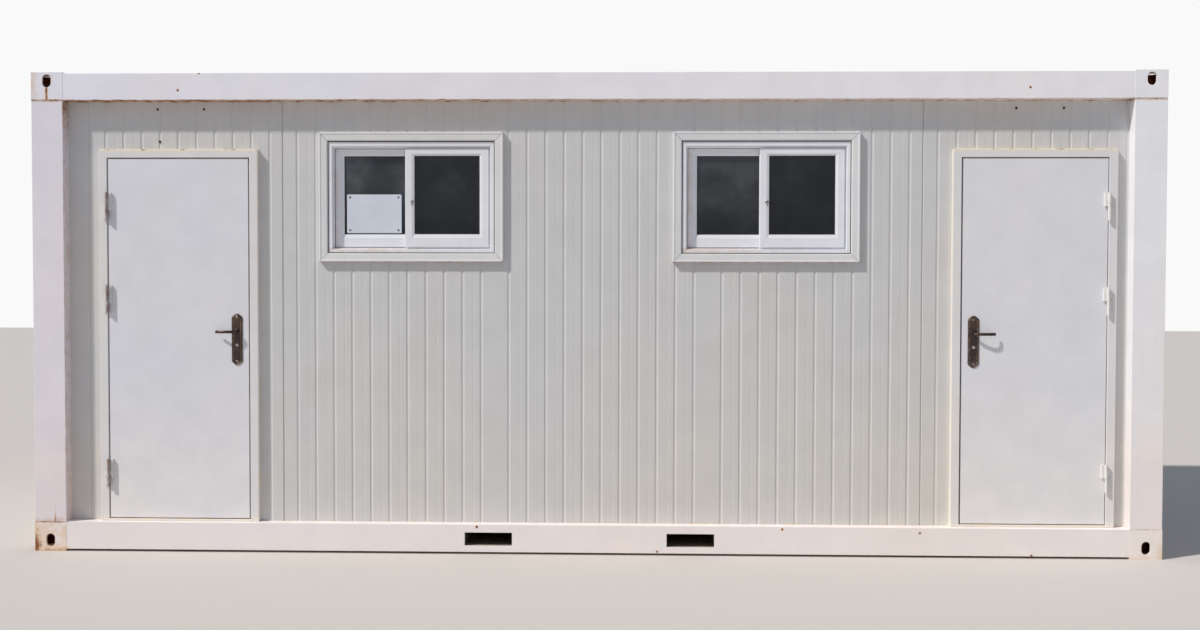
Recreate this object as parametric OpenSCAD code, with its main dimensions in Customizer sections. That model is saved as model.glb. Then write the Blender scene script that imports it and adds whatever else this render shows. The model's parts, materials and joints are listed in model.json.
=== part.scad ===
/* [Cabin] */
// Length over the corner castings, along X
length = 6058; // [5050:1:7300]
// Width over the corner castings, along Y
width = 2438; // [2030:1:2930]
// Height from the ground to the top of the corner castings
height = 2591; // [2520:1:3110]

/* [Corner castings and posts] */
// Width of a corner casting along X, and of the post under it
casting_w = 172; // [150:1:200]
// Depth of a corner casting along Y, and of the post under it
casting_d = 162; // [150:1:195]
// Height of a top corner casting
top_casting_h = 148; // [140:1:160]
// Height of a bottom corner casting
bottom_casting_h = 158; // [140:1:160]
// Wall thickness of a corner casting
casting_t = 14; // [10:1:20]
// Width of the upright slots in the castings' outer faces
slot_w = 48; // [40:1:56]
// Height of the upright slots
slot_h = 70; // [60:1:80]
// Distance of the upright slots from the cabin's end or side
slot_in = 85; // [75:1:90]
// Height of the lower upright slots' centres above the ground
low_slot_z = 60; // [56:1:70]
// Drop of the upper upright slots' centres below the castings' tops
top_slot_drop = 46; // [42:1:60]
// Width of the slots in the top and bottom faces
face_slot_w = 60; // [50:1:66]
// Length of the slots in the top and bottom faces
face_slot_l = 104; // [80:1:120]
// Step by which castings stand proud of the posts and rails
casting_step = 1; // [0.5:0.5:6]
// Wall thickness of a post
post_t = 4; // [3:0.5:8]

/* [Rails] */
// Thickness of the folded steel rails
rail_t = 4; // [3:0.5:6]
// Width of the rails' lips
lip_w = 60; // [40:1:90]
// Height of the bottom rails' underside above the ground
rail_lift = 12; // [6:1:20]
// Height of the bottom rails' top, which carries the walls
floor_z = 160; // [160:1:190]
// Height of a top rail
top_rail_h = 144; // [130:1:160]
// Drop of the top rails below the castings' tops
top_rail_drop = 6; // [2:1:12]

/* [Forklift pockets] */
// Width of a forklift pocket
pocket_w = 255; // [200:1:340]
// Height of a forklift pocket
pocket_h = 70; // [50:1:80]
// Height of a pocket's lower edge
pocket_z = 47; // [30:1:48]
// Distance between the centres of the two pockets
pocket_spacing = 1087; // [850:1:1320]
// Offset of the pair of pockets from the middle
pocket_shift = -14; // [-60:1:60]
// Wall thickness of a pocket's sleeve
sleeve_t = 6; // [4:1:8]

/* [Floor and roof] */
// Thickness of the floor boards
deck_t = 22; // [18:1:26]
// Width of a floor joist
joist_w = 50; // [40:1:70]
// Height of a floor joist
joist_h = 82; // [60:1:90]
// Joists between each pocket and the cabin's end
end_joists = 4; // [2:1:6]
// Thickness of the insulated ceiling
ceiling_t = 40; // [30:1:60]
// Width of a roof beam
beam_w = 60; // [40:1:80]
// Number of roof beams
beam_count = 7; // [4:1:9]
// Thickness of the roof sheet
roof_t = 3; // [2:0.5:4]

/* [Walls] */
// Distance from the frame's outer plane back to the walls
wall_recess = 75; // [65:1:85]
// Thickness of the insulated wall panels
wall_t = 50; // [40:1:60]
// Width of a wall panel
panel_w = 1150; // [960:1:1380]
// Offset of the middle panel from the cabin's middle
panel_shift = 41; // [-60:1:60]

/* [Doors] */
// Width over a door frame
door_w = 870; // [725:1:1044]
// Height over a door frame
door_h = 2022; // [1700:1:2100]
// Wall showing between the left post and its door frame
left_door_gap = 173.5; // [60:0.5:200]
// Wall showing between the right post and its door frame
right_door_gap = 66.5; // [60:0.5:200]
// Width of a door frame's face
jamb_w = 46; // [40:1:60]
// Step of the door and window frames in front of the wall
trim_step = 30; // [20:1:40]
// Depth of a door frame behind the wall
frame_back = 15; // [5:1:30]
// Width of the stop behind the leaf
stop_w = 15; // [10:1:25]
// Height of the sill plate
sill_h = 12; // [8:1:20]
// Thickness of a door leaf
leaf_t = 45; // [40:1:48]
// Set back of the leaf behind the frame's face
leaf_set = 5; // [2:1:8]
// Gap round a leaf at its hinges, head, sill and stop
leaf_gap = 5; // [5:0.5:8]
// Gap at a leaf's lock edge, where its corner swings past
lock_gap = 8; // [8:0.5:12]

/* [Hinges] */
// Height of the top hinges' centres
hinge_top_z = 1874; // [1800:1:1900]
// Height of the middle hinges' centres
hinge_mid_z = 1371; // [1200:1:1500]
// Height of the bottom hinges' centres
hinge_low_z = 425; // [300:1:600]
// Height of a hinge, both knuckles
hinge_h = 148; // [120:1:180]
// Radius of a hinge barrel
barrel_r = 8; // [7:0.5:8]
// Radius of a hinge pin
pin_r = 4; // [3:0.5:5]
// Length of a hinge pin inside the upper knuckle
pin_l = 50; // [30:1:55]
// Radial clearance of a pin or spindle in its bore
pin_clear = 0.05; // [0.01:0.01:0.1]
// Distance of the hinge axis in front of the leaf
hinge_out = 18; // [18:0.5:22]
// Gap between the two knuckles
knuckle_gap = 1; // [0.5:0.5:2]
// Width of a hinge's mounting tab
tab_w = 22; // [16:1:30]

/* [Handles] */
// Height of the lever's spindle
lever_z = 1194; // [1050:1:1250]
// Distance of the spindle from the leaf's lock edge
backset = 62; // [50:1:80]
// Width of a handle plate
plate_w = 60; // [50:1:80]
// Height of a handle plate, with its points
plate_h = 280; // [240:1:320]
// Height of the point at each end of a plate
point_h = 20; // [10:1:30]
// Thickness of a handle plate
plate_t = 4; // [3:0.5:5]
// Distance from the spindle down to the plate's middle
plate_drop = 42; // [30:1:50]
// Distance from the spindle down to the key cylinder
lock_drop = 72; // [60:1:92]
// Radius of the key cylinder
lock_r = 8.5; // [7:0.5:10]
// Step of the key cylinder in front of a plate
lock_step = 4; // [1:0.5:8]
// Radius of the lever's spindle
spindle_r = 8; // [6:0.5:10]
// Radius of the collar at the lever's root
collar_r = 12; // [11:0.5:16]
// Reach of the lever from its spindle to its tip
lever_l = 110; // [90:1:130]
// Height of the lever's arm
lever_h = 16; // [12:1:20]
// Thickness of the lever's arm
lever_t = 12; // [8:1:14]
// Distance of the lever's arm in front of its plate
lever_out = 24; // [18:1:24]
// Outward bow of the lever's arm
lever_bow = 14; // [6:1:14]

/* [Windows] */
// Width over a window's casing
casing_l = 1000; // [840:1:1060]
// Height over a window's casing
casing_h = 700; // [590:1:780]
// Height of the casing's lower edge
casing_z = 1574; // [1300:1:1600]
// Width of the casing's face
casing_face = 47; // [35:1:60]
// Left window's middle, as a share of the wall between the doors
left_window_share = 0.2227; // [0.2:0.0001:0.25]
// Right window's middle, as a share of the wall between the doors
right_window_share = 0.735; // [0.7:0.0001:0.78]
// Width of the aluminium frame's sides
alu_side = 31.5; // [25:0.5:40]
// Width of the aluminium frame's head
alu_head = 38.5; // [30:0.5:50]
// Width of the aluminium frame's sill
alu_sill = 29.5; // [25:0.5:40]
// Step of the aluminium frame in front of the wall
alu_step = 13; // [5:1:20]
// Width of a sash's upright rails
sash_stile = 52; // [40:1:65]
// Width of a sash's top rail
sash_head = 41; // [30:1:55]
// Width of a sash's bottom rail
sash_foot = 74; // [55:1:85]
// Thickness of a sash
sash_t = 20; // [16:1:24]
// Gap between the two sashes' planes
sash_gap = 4; // [2:0.5:4]
// Overlap of the sashes where they meet
sash_overlap = 57; // [40:1:70]
// Offset of the meeting rails from the window's middle
sash_shift = -7.5; // [-30:0.5:30]
// Thickness of the glass
glass_t = 6; // [4:1:8]

/* [Hidden] */
$fn = 48;
cut = 1;
front_y = -width / 2;
end_x = length / 2 - casting_w;
side_y = width / 2 - casting_d;
wall_z = height - top_rail_drop - top_rail_h;
beam_z = wall_z + ceiling_t;
roof_z = height - top_rail_drop - rail_t - roof_t;
web_in = casting_step + rail_t;
wall_in = wall_recess + wall_t;
pocket_half = pocket_spacing / 2;
sleeve_half = pocket_w / 2 + sleeve_t;
left_door_x = -end_x + left_door_gap + door_w / 2;
right_door_x = end_x - right_door_gap - door_w / 2;
door_top = floor_z + door_h;
trim_y = wall_recess - trim_step;
leaf_y = trim_y + leaf_set;
leaf_back = leaf_y + leaf_t;
leaf_hinge_x = -door_w / 2 + jamb_w + leaf_gap;
leaf_lock_x = door_w / 2 - jamb_w - lock_gap;
leaf_z = floor_z + sill_h + leaf_gap;
leaf_top = door_top - jamb_w - leaf_gap;
hinge_x = leaf_hinge_x - leaf_gap / 2;
hinge_y = leaf_y - hinge_out;
hinge_zs = [hinge_low_z, hinge_mid_z, hinge_top_z];
knuckle_h = (hinge_h - knuckle_gap) / 2;
tab_in = 3;
tab_y = hinge_y + barrel_r / 2;
spindle_x = leaf_lock_x - backset;
lever_y = leaf_y - plate_t - lever_out;
bow_r = (lever_l * lever_l / 4 + lever_bow * lever_bow) / (2 * lever_bow);
left_clear_x = left_door_x + door_w / 2;
right_clear_x = right_door_x - door_w / 2;
clear_run = right_clear_x - left_clear_x;
left_window_x = round(left_clear_x + left_window_share * clear_run);
right_window_x = round(left_clear_x + right_window_share * clear_run);
joint_left_x = panel_shift - panel_w / 2;
joint_right_x = panel_shift + panel_w / 2;
hole_half = casing_l / 2 - casing_face;
hole_z = casing_z + casing_face;
hole_top = casing_z + casing_h - casing_face;
light_half = hole_half - alu_side;
light_z = hole_z + alu_sill;
light_top = hole_top - alu_head;
front_sash_y = wall_recess - alu_step + (wall_t + alu_step - 2 * sash_t - sash_gap) / 2;
rear_sash_y = front_sash_y + sash_t + sash_gap;

// A block given by the low and high values of its three axes
module block(x, y, z) {
    translate([x[0], y[0], z[0]])
        cube([x[1] - x[0], y[1] - y[0], z[1] - z[0]]);
}

// A slot with round ends, its long way along Y, its depth along +Z
module slot(wide, long, deep) {
    linear_extrude(deep) {
        square([wide, long - wide], center = true);
        for (side = [-1, 1])
            translate([0, side * (long - wide) / 2])
                circle(d = wide);
    }
}

// What is drawn for the front left corner, at all four corners
module at_corners() {
    for (turn_x = [0, 1], turn_y = [0, 1])
        mirror([turn_x, 0, 0])
            mirror([0, turn_y, 0])
                translate([-length / 2, front_y, 0])
                    children();
}

// What is drawn for the left end, at both ends
module at_ends() {
    for (turn = [0, 1])
        mirror([turn, 0, 0])
            children();
}

// A door is drawn with x from its middle, y from the frame's front plane
// and its hinges on the low side of x
module at_left_door() {
    translate([left_door_x, front_y, 0])
        children();
}

module at_right_door() {
    translate([right_door_x, front_y, 0])
        mirror([1, 0, 0])
            children();
}

// A window is drawn with x from its middle and y from the front plane
module at_window(x) {
    translate([x, front_y, 0])
        children();
}

// A hollow casting, 0,0 at the outer corner, with a slot in each
// outer side and one in the face that faces up or down
module casting(h, slot_z, face_z) {
    difference() {
        cube([casting_w, casting_d, h]);
        block([casting_t, casting_w - casting_t],
              [casting_t, casting_d - casting_t],
              [casting_t, h - casting_t]);
        translate([slot_in, casting_t + cut, slot_z])
            rotate([90, 0, 0])
                slot(slot_w, slot_h, casting_t + 2 * cut);
        translate([-cut, slot_in, slot_z])
            rotate([0, 90, 0])
                rotate([0, 0, 90])
                    slot(slot_w, slot_h, casting_t + 2 * cut);
        translate([casting_w / 2, casting_d / 2, face_z - cut])
            rotate([0, 0, 90])
                slot(face_slot_w, face_slot_l, casting_t + 2 * cut);
    }
}

module top_corner_castings() {
    color([0.84, 0.83, 0.85])
        at_corners()
            translate([0, 0, height - top_casting_h])
                casting(top_casting_h, top_casting_h - top_slot_drop,
                        top_casting_h - casting_t);
}

module bottom_corner_castings() {
    color([0.82, 0.80, 0.80])
        at_corners()
            casting(bottom_casting_h, low_slot_z, 0);
}

// Box-section posts between the castings
module corner_posts() {
    color([0.83, 0.82, 0.84])
        at_corners()
            difference() {
                block([casting_step, casting_w], [casting_step, casting_d],
                      [bottom_casting_h, height - top_casting_h]);
                block([casting_step + post_t, casting_w - post_t],
                      [casting_step + post_t, casting_d - post_t],
                      [bottom_casting_h - cut, height - top_casting_h + cut]);
            }
}

// A folded channel along X with its web on y = 0, a wide flange that
// carries or caps the walls and a lip on the other edge
module channel(run, flange_w, lip, z, flange_up) {
    flange_z = flange_up ? z[1] - rail_t : z[0];
    lip_z = flange_up ? z[0] : z[1] - rail_t;
    block([-run / 2, run / 2], [0, rail_t], z);
    block([-run / 2, run / 2], [0, flange_w], [flange_z, flange_z + rail_t]);
    block([-run / 2, run / 2], [0, lip], [lip_z, lip_z + rail_t]);
}

// The front long rail, bottom or top
module long_rail(z, flange_up) {
    translate([0, front_y + casting_step, 0])
        channel(2 * end_x, casting_d - casting_step, lip_w, z, flange_up);
}

// The rail across the left end, bottom or top
module end_rail(lip, z, flange_up) {
    translate([-length / 2 + casting_step, 0, 0])
        rotate([0, 0, -90])
            channel(2 * side_y, casting_w - casting_step, lip, z, flange_up);
}

// Both forklift pockets as blocks across the cabin, grown by the
// sleeve's wall where wanted
module pockets(grow, reach) {
    for (side = [-1, 1])
        translate([pocket_shift + side * pocket_half, 0, 0])
            block([-pocket_w / 2 - grow, pocket_w / 2 + grow],
                  [-reach, reach],
                  [pocket_z - grow, pocket_z + pocket_h + grow]);
}

module front_bottom_rail() {
    color([0.88, 0.85, 0.84])
        difference() {
            long_rail([rail_lift, floor_z], true);
            pockets(0, width);
        }
}

module rear_bottom_rail() {
    color([0.88, 0.85, 0.84])
        difference() {
            mirror([0, 1, 0])
                long_rail([rail_lift, floor_z], true);
            pockets(0, width);
        }
}

module end_bottom_rails() {
    color([0.88, 0.85, 0.84])
        at_ends()
            end_rail(lip_w, [rail_lift, floor_z], true);
}

module front_top_rail() {
    color([0.85, 0.85, 0.87])
        long_rail([wall_z, wall_z + top_rail_h], false);
}

module rear_top_rail() {
    color([0.85, 0.85, 0.87])
        mirror([0, 1, 0])
            long_rail([wall_z, wall_z + top_rail_h], false);
}

// Their lips reach past the castings and over the roof sheet's ends
module end_top_rails() {
    color([0.85, 0.85, 0.87])
        at_ends()
            end_rail(casting_w + lip_w, [wall_z, wall_z + top_rail_h], false);
}

// Steel tubes that join the pockets of the front and rear rails
module fork_sleeves() {
    color([0.35, 0.34, 0.33])
        difference() {
            pockets(sleeve_t, width / 2 - web_in);
            pockets(0, width);
        }
}

module joist(x) {
    block([x - joist_w / 2, x + joist_w / 2],
          [-width / 2 + web_in, width / 2 - web_in],
          [floor_z - deck_t - joist_h, floor_z - deck_t]);
}

// Joists across the cabin under the boards, one between the pockets
// and the others spaced evenly out to the ends
module floor_joists() {
    color([0.45, 0.45, 0.46]) {
        joist(pocket_shift);
        for (side = [-1, 1], i = [1:end_joists]) {
            sleeve_x = pocket_shift + side * (pocket_half + sleeve_half);
            joist(sleeve_x + (side * end_x - sleeve_x) * i / (end_joists + 1));
        }
    }
}

module floor_deck() {
    color([0.42, 0.36, 0.30])
        block([-end_x, end_x], [-side_y, side_y], [floor_z - deck_t, floor_z]);
}

module ceiling_panel() {
    color([0.86, 0.86, 0.86])
        block([-end_x, end_x], [-side_y, side_y], [wall_z, beam_z]);
}

module roof_beams() {
    color([0.55, 0.55, 0.56])
        for (i = [1:beam_count])
            translate([(2 * i / (beam_count + 1) - 1) * end_x, 0, 0])
                block([-beam_w / 2, beam_w / 2],
                      [-width / 2 + web_in, width / 2 - web_in],
                      [beam_z, roof_z]);
}

// Flat sheet that spans the roof under the rails' lips
module roof_sheet() {
    color([0.78, 0.78, 0.78])
        block([-end_x, end_x],
              [-width / 2 + web_in, width / 2 - web_in],
              [roof_z, roof_z + roof_t]);
}

// A piece of the front wall, its windows cut out
module front_slab(x, low_z) {
    difference() {
        block(x, [front_y + wall_recess, front_y + wall_in], [low_z, wall_z]);
        for (window_x = [left_window_x, right_window_x])
            block([window_x - hole_half, window_x + hole_half],
                  [front_y, front_y + width / 2],
                  [hole_z, hole_top]);
    }
}

module front_wall_left_strip() {
    color([0.74, 0.74, 0.75])
        front_slab([-end_x, left_door_x - door_w / 2], floor_z);
}

module front_wall_over_left_door() {
    color([0.74, 0.74, 0.75])
        front_slab([left_door_x - door_w / 2, left_clear_x], door_top);
}

module front_wall_left_window() {
    color([0.74, 0.74, 0.75])
        front_slab([left_clear_x, joint_left_x], floor_z);
}

module front_wall_middle() {
    color([0.74, 0.74, 0.75])
        front_slab([joint_left_x, joint_right_x], floor_z);
}

module front_wall_right_window() {
    color([0.74, 0.74, 0.75])
        front_slab([joint_right_x, right_clear_x], floor_z);
}

module front_wall_over_right_door() {
    color([0.74, 0.74, 0.75])
        front_slab([right_clear_x, right_door_x + door_w / 2], door_top);
}

module front_wall_right_strip() {
    color([0.74, 0.74, 0.75])
        front_slab([right_door_x + door_w / 2, end_x], floor_z);
}

module rear_wall() {
    color([0.74, 0.74, 0.75])
        block([-end_x, end_x],
              [width / 2 - wall_in, width / 2 - wall_recess],
              [floor_z, wall_z]);
}

module left_wall() {
    color([0.74, 0.74, 0.75])
        block([-length / 2 + wall_recess, -length / 2 + wall_in],
              [-side_y, side_y],
              [floor_z, wall_z]);
}

module right_wall() {
    color([0.74, 0.74, 0.75])
        mirror([1, 0, 0])
            left_wall();
}

// Frame through the wall, rebated for the leaf, with a sill plate
module door_frame() {
    light = door_w / 2 - jamb_w;
    color([0.82, 0.82, 0.82])
        difference() {
            block([-door_w / 2, door_w / 2],
                  [trim_y, wall_in + frame_back],
                  [floor_z, door_top]);
            block([-light, light],
                  [trim_y - cut, leaf_back + leaf_gap],
                  [floor_z + sill_h, door_top - jamb_w]);
            block([-light + stop_w, light - stop_w],
                  [trim_y - cut, wall_in + frame_back + cut],
                  [floor_z + sill_h + stop_w, door_top - jamb_w - stop_w]);
        }
}

// Insulated leaf, bored for the spindle and the key cylinder
module door_leaf() {
    color([0.83, 0.83, 0.84])
        difference() {
            block([leaf_hinge_x, leaf_lock_x], [leaf_y, leaf_back], [leaf_z, leaf_top]);
            across_leaf(lever_z, spindle_r + 2, leaf_y - cut, leaf_back + cut);
            across_leaf(lever_z - lock_drop, lock_r, leaf_y - cut, leaf_back + cut);
        }
}

// A round bar through the leaf on the handle's centre line
module across_leaf(z, r, y0, y1) {
    translate([spindle_x, y1, z])
        rotate([90, 0, 0])
            cylinder(r = r, h = y1 - y0);
}

// Lower knuckles with their pins, welded to the jamb
module hinge_pins() {
    color([0.72, 0.72, 0.73])
        for (z = hinge_zs) {
            translate([hinge_x, hinge_y, z - hinge_h / 2])
                cylinder(r = barrel_r, h = knuckle_h);
            translate([hinge_x, hinge_y, z - hinge_h / 2])
                cylinder(r = pin_r, h = knuckle_h + knuckle_gap + pin_l);
            block([hinge_x - tab_w, hinge_x - tab_in],
                  [tab_y, trim_y],
                  [z - hinge_h / 2, z - hinge_h / 2 + knuckle_h]);
        }
}

// Upper knuckles, bored for the pins and welded to the leaf
module hinge_sleeves() {
    color([0.72, 0.72, 0.73])
        for (z = hinge_zs)
            difference() {
                union() {
                    translate([hinge_x, hinge_y, z + knuckle_gap / 2])
                        cylinder(r = barrel_r, h = knuckle_h);
                    block([hinge_x + tab_in, hinge_x + tab_w],
                          [tab_y, leaf_y],
                          [z + knuckle_gap / 2, z + knuckle_gap / 2 + knuckle_h]);
                }
                translate([hinge_x, hinge_y, z - cut])
                    cylinder(r = pin_r + pin_clear, h = cut + pin_l + 2 * knuckle_gap);
            }
}

// Long plate with pointed ends, its back on y = 0 facing +Y
module handle_plate() {
    mid_z = lever_z - plate_drop;
    rotate([90, 0, 0])
        linear_extrude(plate_t)
            translate([spindle_x, mid_z])
                polygon([
                    [-plate_w / 2, -plate_h / 2 + point_h],
                    [0, -plate_h / 2],
                    [plate_w / 2, -plate_h / 2 + point_h],
                    [plate_w / 2, plate_h / 2 - point_h],
                    [0, plate_h / 2],
                    [-plate_w / 2, plate_h / 2 - point_h]
                ]);
}

// Plates on both faces, joined by the key cylinder through the leaf
module handle_plates() {
    color([0.27, 0.22, 0.17])
        difference() {
            union() {
                translate([0, leaf_y, 0])
                    handle_plate();
                translate([0, leaf_back + plate_t, 0])
                    handle_plate();
                across_leaf(lever_z - lock_drop, lock_r,
                            leaf_y - plate_t - lock_step,
                            leaf_back + plate_t + lock_step);
            }
            across_leaf(lever_z, spindle_r + pin_clear, 0, wall_in + frame_back);
        }
}

// Bowed arm from the spindle towards the hinges, bowing to -Y
module lever_arm() {
    bow_x = spindle_x - lever_l / 2;
    bow_y = lever_y - lever_bow + bow_r;
    translate([0, 0, lever_z - lever_h / 2])
        linear_extrude(lever_h) {
            intersection() {
                translate([bow_x, bow_y])
                    difference() {
                        circle(r = bow_r + lever_t / 2, $fn = 96);
                        circle(r = bow_r - lever_t / 2, $fn = 96);
                    }
                translate([bow_x - lever_l / 2, lever_y - 2 * lever_bow - lever_t])
                    square([lever_l, 2 * lever_bow + 2 * lever_t]);
            }
            for (x = [spindle_x, spindle_x - lever_l])
                translate([x, lever_y])
                    circle(d = lever_t);
        }
}

// Levers on both faces with their shared spindle
module lever() {
    mid_y = (leaf_y + leaf_back) / 2;
    color([0.30, 0.25, 0.19]) {
        across_leaf(lever_z, spindle_r, lever_y, 2 * mid_y - lever_y);
        for (turn = [0, 1])
            translate([0, mid_y, 0])
                mirror([0, turn, 0])
                    translate([0, -mid_y, 0]) {
                        lever_arm();
                        across_leaf(lever_z, collar_r, lever_y, leaf_y - plate_t - knuckle_gap);
                    }
    }
}

// Flat casing round the window's outside, standing on the wall
module window_casing() {
    color([0.82, 0.82, 0.79])
        difference() {
            block([-casing_l / 2, casing_l / 2],
                  [trim_y, wall_recess],
                  [casing_z, casing_z + casing_h]);
            block([-hole_half, hole_half],
                  [trim_y - cut, wall_recess + cut],
                  [hole_z, hole_top]);
        }
}

// Aluminium frame through the wall
module window_frame() {
    color([0.88, 0.89, 0.92])
        difference() {
            block([-hole_half, hole_half],
                  [wall_recess - alu_step, wall_in],
                  [hole_z, hole_top]);
            block([-light_half, light_half],
                  [trim_y, wall_in + cut],
                  [light_z, light_top]);
        }
}

// The low and high x of the rear sash's and the front sash's outside
rear_sash_x = [-light_half, sash_shift + sash_overlap / 2];
front_sash_x = [sash_shift - sash_overlap / 2, light_half];

module sash(x, y) {
    difference() {
        block(x, [y, y + sash_t], [light_z, light_top]);
        block([x[0] + sash_stile, x[1] - sash_stile],
              [y - cut, y + sash_t + cut],
              [light_z + sash_foot, light_top - sash_head]);
    }
}

module window_sashes() {
    color([0.88, 0.89, 0.92]) {
        sash(rear_sash_x, rear_sash_y);
        sash(front_sash_x, front_sash_y);
    }
}

module pane(x, y) {
    block([x[0] + sash_stile, x[1] - sash_stile],
          [y + (sash_t - glass_t) / 2, y + (sash_t + glass_t) / 2],
          [light_z + sash_foot, light_top - sash_head]);
}

module window_glass() {
    color([0.25, 0.27, 0.28, 0.6]) {
        pane(rear_sash_x, rear_sash_y);
        pane(front_sash_x, front_sash_y);
    }
}

module left_door_frame() at_left_door() door_frame();
module left_door_leaf() at_left_door() door_leaf();
module left_hinge_pins() at_left_door() hinge_pins();
module left_hinge_sleeves() at_left_door() hinge_sleeves();
module left_handle_plates() at_left_door() handle_plates();
module left_lever() at_left_door() lever();
module right_door_frame() at_right_door() door_frame();
module right_door_leaf() at_right_door() door_leaf();
module right_hinge_pins() at_right_door() hinge_pins();
module right_hinge_sleeves() at_right_door() hinge_sleeves();
module right_handle_plates() at_right_door() handle_plates();
module right_lever() at_right_door() lever();
module left_window_casing() at_window(left_window_x) window_casing();
module left_window_frame() at_window(left_window_x) window_frame();
module left_window_sashes() at_window(left_window_x) window_sashes();
module left_window_glass() at_window(left_window_x) window_glass();
module right_window_casing() at_window(right_window_x) window_casing();
module right_window_frame() at_window(right_window_x) window_frame();
module right_window_sashes() at_window(right_window_x) window_sashes();
module right_window_glass() at_window(right_window_x) window_glass();

top_corner_castings();
bottom_corner_castings();
corner_posts();
front_bottom_rail();
rear_bottom_rail();
end_bottom_rails();
front_top_rail();
rear_top_rail();
end_top_rails();
fork_sleeves();
floor_joists();
floor_deck();
ceiling_panel();
roof_beams();
roof_sheet();
front_wall_left_strip();
front_wall_over_left_door();
front_wall_left_window();
front_wall_middle();
front_wall_right_window();
front_wall_over_right_door();
front_wall_right_strip();
rear_wall();
left_wall();
right_wall();
left_door_frame();
left_door_leaf();
left_hinge_pins();
left_hinge_sleeves();
left_handle_plates();
left_lever();
right_door_frame();
right_door_leaf();
right_hinge_pins();
right_hinge_sleeves();
right_handle_plates();
right_lever();
left_window_casing();
left_window_frame();
left_window_sashes();
left_window_glass();
right_window_casing();
right_window_frame();
right_window_sashes();
right_window_glass();
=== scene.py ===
import json
import math

import bmesh
import bpy
import numpy as np
from mathutils import Matrix, Vector


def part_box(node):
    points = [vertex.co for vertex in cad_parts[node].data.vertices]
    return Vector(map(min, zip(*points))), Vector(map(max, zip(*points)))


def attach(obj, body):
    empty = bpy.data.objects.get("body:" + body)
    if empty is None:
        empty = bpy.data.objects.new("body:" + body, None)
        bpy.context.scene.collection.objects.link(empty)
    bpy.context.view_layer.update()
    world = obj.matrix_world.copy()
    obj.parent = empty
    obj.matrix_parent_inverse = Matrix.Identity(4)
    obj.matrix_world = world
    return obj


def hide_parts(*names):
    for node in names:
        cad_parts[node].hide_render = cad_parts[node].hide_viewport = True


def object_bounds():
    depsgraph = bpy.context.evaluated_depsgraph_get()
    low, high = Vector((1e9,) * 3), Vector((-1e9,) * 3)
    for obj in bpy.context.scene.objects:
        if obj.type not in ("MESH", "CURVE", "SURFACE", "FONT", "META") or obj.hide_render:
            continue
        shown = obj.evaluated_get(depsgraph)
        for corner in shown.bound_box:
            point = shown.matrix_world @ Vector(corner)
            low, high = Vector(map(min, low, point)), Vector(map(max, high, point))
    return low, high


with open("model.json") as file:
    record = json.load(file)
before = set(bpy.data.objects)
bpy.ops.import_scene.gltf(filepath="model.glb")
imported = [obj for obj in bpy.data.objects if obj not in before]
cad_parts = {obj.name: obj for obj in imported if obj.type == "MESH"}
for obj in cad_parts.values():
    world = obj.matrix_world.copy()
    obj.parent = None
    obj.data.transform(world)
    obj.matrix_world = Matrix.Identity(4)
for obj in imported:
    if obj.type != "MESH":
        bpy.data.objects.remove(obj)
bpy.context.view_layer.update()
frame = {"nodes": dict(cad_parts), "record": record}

# Setting: a level pale floor, one low sun from the upper left front and an even sky.
# The camera stands a little right of the middle of the long front, at head height.
LOW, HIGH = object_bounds()


def tone(red, green, blue):
    """A colour given as it shows on a screen, 0 to 255, as the linear values that shaders take."""
    shown = np.array([red, green, blue]) / 255
    linear = np.where(shown <= 0.04045, shown / 12.92, ((shown + 0.055) / 1.055) ** 2.4)
    return (*linear, 1.0)


def put(tree, kind, feeds=None, **settings):
    """Adds a shader node; feeds gives each input its value or the socket that drives it."""
    node = tree.nodes.new("ShaderNode" + kind)
    for key, value in settings.items():
        setattr(node, key, value)
    for key, value in (feeds or {}).items():
        if isinstance(value, bpy.types.NodeSocket):
            tree.links.new(value, node.inputs[key])
        else:
            node.inputs[key].default_value = value
    return node


def fresh_material(name):
    """A new material with its node tree and its main shader."""
    material = bpy.data.materials.new(name)
    material.use_nodes = True
    tree = material.node_tree
    return material, tree, tree.nodes["Principled BSDF"]


def stand_camera():
    """Looks along +Y, turned a little left and down, as a person in front of the cabin would."""
    yaw, pitch, roll = -0.0290, -0.0280, 0.0020
    ahead = Vector((math.sin(yaw) * math.cos(pitch), math.cos(yaw) * math.cos(pitch), math.sin(pitch)))
    level = Vector((math.cos(yaw), -math.sin(yaw), 0))
    upward = level.cross(ahead)
    right = level * math.cos(roll) + upward * math.sin(roll)
    up = upward * math.cos(roll) - level * math.sin(roll)
    data = bpy.data.cameras.new("camera")
    data.sensor_width = 36.0
    data.lens = 39.6
    data.clip_end = 200
    camera = bpy.data.objects.new("camera", data)
    axes = Matrix((right, up, -ahead)).transposed().to_4x4()
    camera.matrix_world = Matrix.Translation((0.2465, LOW.y - 7.0513, 1.4893)) @ axes
    bpy.context.scene.collection.objects.link(camera)
    bpy.context.scene.camera = camera


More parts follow.
